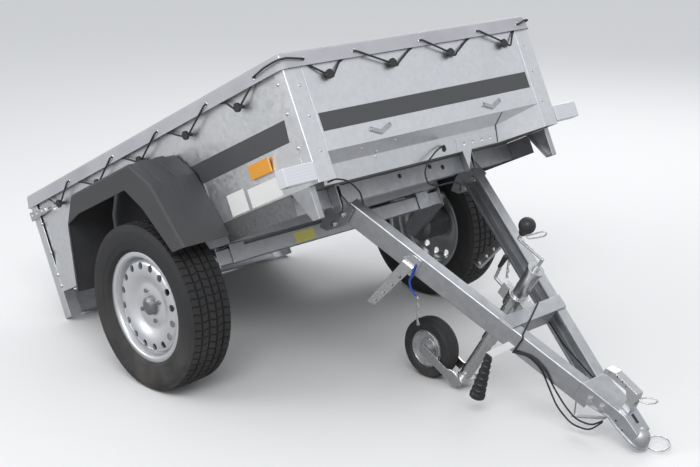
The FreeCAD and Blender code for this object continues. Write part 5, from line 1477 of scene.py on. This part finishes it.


# the dark discs on the lever and the nose are painted shade inside their holes
spots("lever_holes", ("coupling_handle",), "drawbar",
      [(893, -15, 107), (918, -15, 117), (938, -15, 118), (954, -15, 115)], SIDEWAYS, 3.2)
spots("nose_holes", ("coupling",), "drawbar", [(998, -30, 23), (1028, -30, 13)], SIDEWAYS, 4.5)
# the black film is painted shade inside the gauge slot
film("gauge_slot", ("coupling",), [(1013, -6, 53), (1042, -6, 53), (1042, 6, 53), (1013, 6, 53)],
     bar_down, BLACK_PLASTIC_AND_SHADE, body="drawbar", fine=(10, 4))
roped("lever_wire", [(1001, -6, 112), (1016, -6, 137), (1033, -6, 152), (1047, -6, 160),
                     (1046, -6, 145), (1029, -6, 123), (1014, -6, 112)], 1.9)
roped("nose_wire", [(1096, 14, 1), (1122, 2, 17), (1140, 20, 28), (1139, 60, 28), (1117, 98, 12),
                    (1084, 100, -9), (1072, 60, -16)], 2.2, ease=18)
roped("crank_wire", [(447, -18, 222), (469, -18, 256), (484, -18, 279), (497, -18, 286),
                     (497, -18, 273), (481, -18, 250), (458, -18, 222)], 2.2)
print("coupling details placed")

# %% [markdown]
# Spring clips secure the catches. A clip is one wire: a straight leg, an eye, and a
# leg bent in waves that grips a pin. The right one hangs from a blue cord that is
# tied to its catch; both are fixed lengths held at the top, shown as they hang.

# %% Clips and cord
CLIP_WIDTH = 9.0
CLIP_STEPS = 26


def spring_clip(name, top, foot):
    """A straight leg, an eye at the top and a wavy leg back down."""
    top, foot = points_on("drawbar", (top, foot))
    points = [foot, foot.lerp(top, 0.5)]
    for step in range(7):
        turn = math.radians(-60 + 300 * step / 6)
        points.append(top + bar_ahead * (CLIP_WIDTH * 0.5 * (1 - math.cos(turn))) * MM
                      + (top - foot).normalized() * CLIP_WIDTH * 0.5 * math.sin(turn) * MM)
    for step in range(CLIP_STEPS + 1):
        share = step / CLIP_STEPS
        wave = CLIP_WIDTH * (0.62 + 0.38 * math.cos(3 * math.tau * share))
        points.append(top.lerp(foot, share * 0.92) + bar_ahead * wave * MM)
    tube(name, eased(points, 3, 2), 2.0, BRIGHT_ZINC, body="drawbar", sides=3)


def hung_cord(name, places, ease, radius, finish):
    tube(name, eased(points_on("drawbar", places), ease, 5), radius, finish, body="drawbar")


hung_cord("catch_cord", ((296, -231, 10), (301, -232, -24), (306, -231, -52), (322, -226, -70),
                         (343, -219, -78)), 18, 3.4, BLUE_CORD)
spring_clip("catch_clip_right", (346, -217, -82), (391, -205, -166))
spring_clip("catch_clip_left", (330, 206, -48), (372, 196, -112))
hung_cord("catch_cord_left", ((302, 222, 4), (306, 220, -26), (330, 207, -46)), 12, 2.0, BLACK_CORD)
print("clips and cord hung")

# %% [markdown]
# Three thin cables run along the beams to the plug, held by a tie that goes over the
# near beam. They sag between their ties as sheathed cable does, in one long bow
# under the nose and back up to it. A stay of flat bar under the coupling carries
# them. Cables are tubes along a few points with wide eased corners.

# %% Cables on the drawbar
def cable(name, places, body="drawbar", radius=2.6, ease=45):
    roped(name, places, radius, body, BLACK_CORD, ease=ease, closed=False)


def at_beam(along, gap, up):
    """A place beside the right beam, with a gap in front of its outer face."""
    return along, -beam_face(along) - gap, up


cable("plug_cable", [at_beam(660, 4, -23), at_beam(702, 4, 1), at_beam(750, 4, -8),
                     at_beam(790, 3, -40), (845, -60, -88), (905, -42, -106), (955, -32, -80),
                     (968, -26, -28)])
cable("lamp_cable", [at_beam(661, 5, -18), at_beam(712, 5, 8), at_beam(760, 4, 0),
                     at_beam(803, 3, -32), (860, -56, -66), (908, -42, -80), (950, -30, -62),
                     (966, -24, -24)])
cable("beam_cable", [(560, 116, -20), (640, 94, -28), (708, 78, -24), (817, 46, 0), (872, 30, 14)],
      radius=2.2)
cable("cable_tie", [(576, 32, 48), (654, -118, 45), at_beam(661, 5, 42), at_beam(661, 6, -24)],
      ease=8)


def flat_bar(name, points, across, width, thickness, body):
    """A strip of flat bar bent along points."""
    work = bmesh.new()
    pairs = [[work.verts.new(point + across * width * MM * way) for way in (-0.5, 0.5)]
             for point in points]
    for (low, high), (next_low, next_high) in zip(pairs, pairs[1:]):
        work.faces.new((low, high, next_high, next_low))
    mesh = mesh_of(work, name, turn_out=False)
    piece = new_piece(name, mesh, body, FRAME_ZINC)
    thicken(piece, thickness)
    return piece


stay = points_on("drawbar", [(966, -12, -18), (935, -12, -52), (893, -12, -98), (884, -12, -104)])
flat_bar("cable_stay", eased(stay, 10, 3), SIDEWAYS, 22, 3, "drawbar")
tube("stay_rod", points_on("drawbar", [(856, -16, -36), (889, -16, -100)]), 2.4, BRIGHT_ZINC,
     body="drawbar", sides=3)
print("drawbar cables placed")

# %% [markdown]
# At the front sill a cable comes out of a rubber grommet, loops down and goes back in below, and
# another comes round the post. Small rivets close the sheet beside the punched plate, and a thin
# dark strip there is the painted shadow in the seam between the sill's pieces. The grommets are low
# black domes.

# %% Cables and grommets on the box
cable("sill_cable", [(-56, 38, 14), (-40, 30, 24), (-40, -10, 14), (-40, -63, -14), (-42, -90, -45),
                     (-44, -88, -78), (-46, -49, -93), (-50, 4, -92), (-58, 45, -94),
                     (-70, 76, -106), (-84, 78, -124)], "box", ease=16)
cable("post_cable", [(-30, -484, -2), (-18, -462, 1), (-18, -425, -9), (-20, -399, -31),
                     (-24, -381, -55), (-40, -370, -88)], "box", ease=16)
spots("sill_grommets", ("front_sill",), "box", [(-50, 38, 14)], into_box, 10, 4)
spots("member_grommets", ("hinge_member",), "box",
      [(-230, -5, -17), (-230, 138, -12), (-230, 195, -24)], into_box, 8, 3)
fasteners("sill_rivets", ("front_sill",), "box", domed_rivet,
          [(-20, -331, 68), (-20, -256, 53), (-20, -256, 40), (-20, -190, 70)], into_box, 4, 2.4)
# a thin dark film here is the painted shadow in the seam between the sill's pieces
film("sill_seam_shadow", ("front_sill",), [(-30, 287, 78), (-30, 287, -5), (-30, 294, -5), (-30, 294, 78)],
     into_box, DARK_PRINT_AND_SHADE_FILM, fine=(24, 2))
for side, name in SIDES:
    inward = -side * SIDEWAYS
    fasteners("latch_rivets_" + name, ("tailgate_latches",), "box", domed_rivet,
              [(along, side * 556, 300) for along in (-1582, -1548, -1505)], inward, 5.5, 4)
    bail = [(-1492, side * 555, 292), (-1404, side * 546, 294), (-1396, side * 545, 303),
            (-1404, side * 546, 312), (-1492, side * 555, 310)]
    roped("latch_bail_" + name, bail, 2.4, "box", ease=6, closed=False)
    fasteners("bail_hooks_" + name, ("wall_" + name,), "box", domed_rivet,
              [(-1394, side * 545, 303)], inward, 8, 8)
print("box details placed")

# %% [markdown]
# The coupling lever is pressed from thick sheet and has no sharp edge anywhere. Its
# faces are too narrow for a bevel, so the copy is remade from small voxels and then
# relaxed, which rounds every edge alike. The small wheel's pressed rim has two
# raised beads, which are rings on its disc.

# %% Lever and small wheel
def soften(node, voxel, relax_steps):
    """Rounds all edges of a shown piece by remaking it from voxels and relaxing them."""
    piece = bpy.data.objects[node + "_shown"]
    piece.modifiers.clear()
    remake = piece.modifiers.new("voxels", "REMESH")
    remake.mode = "VOXEL"
    remake.voxel_size = voxel * MM
    relax = piece.modifiers.new("relax", "SMOOTH")
    relax.factor = 0.5
    relax.iterations = relax_steps
    finish = piece.data.materials[0]
    piece.data = baked(piece)
    paint(piece.data, finish)
    smooth_all(piece.data)
    return len(piece.data.polygons)


print("lever faces:", soften("coupling_handle", 1.1, 6))
wheel_low, wheel_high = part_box("jockey_rim")
wheel_centre = (wheel_low + wheel_high) / 2
wheel_reach = (wheel_high.z - wheel_low.z) / 2 / MM
rings = []
for outward in (-1, 1):
    face = (wheel_high.y - wheel_low.y) / 2 * outward
    for share, thickness, depth in ((0.93, 3.2, 0.86), (0.52, 2.6, 0.55)):
        place = wheel_centre + Vector((0, face * depth, 0))
        rings.append((place, SIDEWAYS, wheel_reach * share, thickness))
beads = ring_piece("jockey_rim_beads", "jockey_wheel", rings, around=48)
print("bead faces:", len(beads.data.polygons))

# %% [markdown]
# Below each side a strip of sheet closes the ends of the floor channels, from the front stay back to
# the mudguard; its dark finish is painted shade under the box's side. It is one flat bar a little
# inside the wall.

# %% Strips under the sides
for side, name in SIDES:
    ends = points_on("box", [(along, side * 538.6, -32) for along in (-136, -484)])
    strip = flat_bar("side_strip_" + name, ends, box_up, 62, 1.0, "box")
    # dark steel here is painted shade: the strip stands where the underside of the box is in shadow
    paint(strip.data, DARK_STEEL_AND_SHADE)
print("side strips placed")

# %% [markdown]
# Last, a line is printed to mark the end. Cloth, cord and wire stand out a little from the CAD
# shapes.

# %% End
print("scene done")
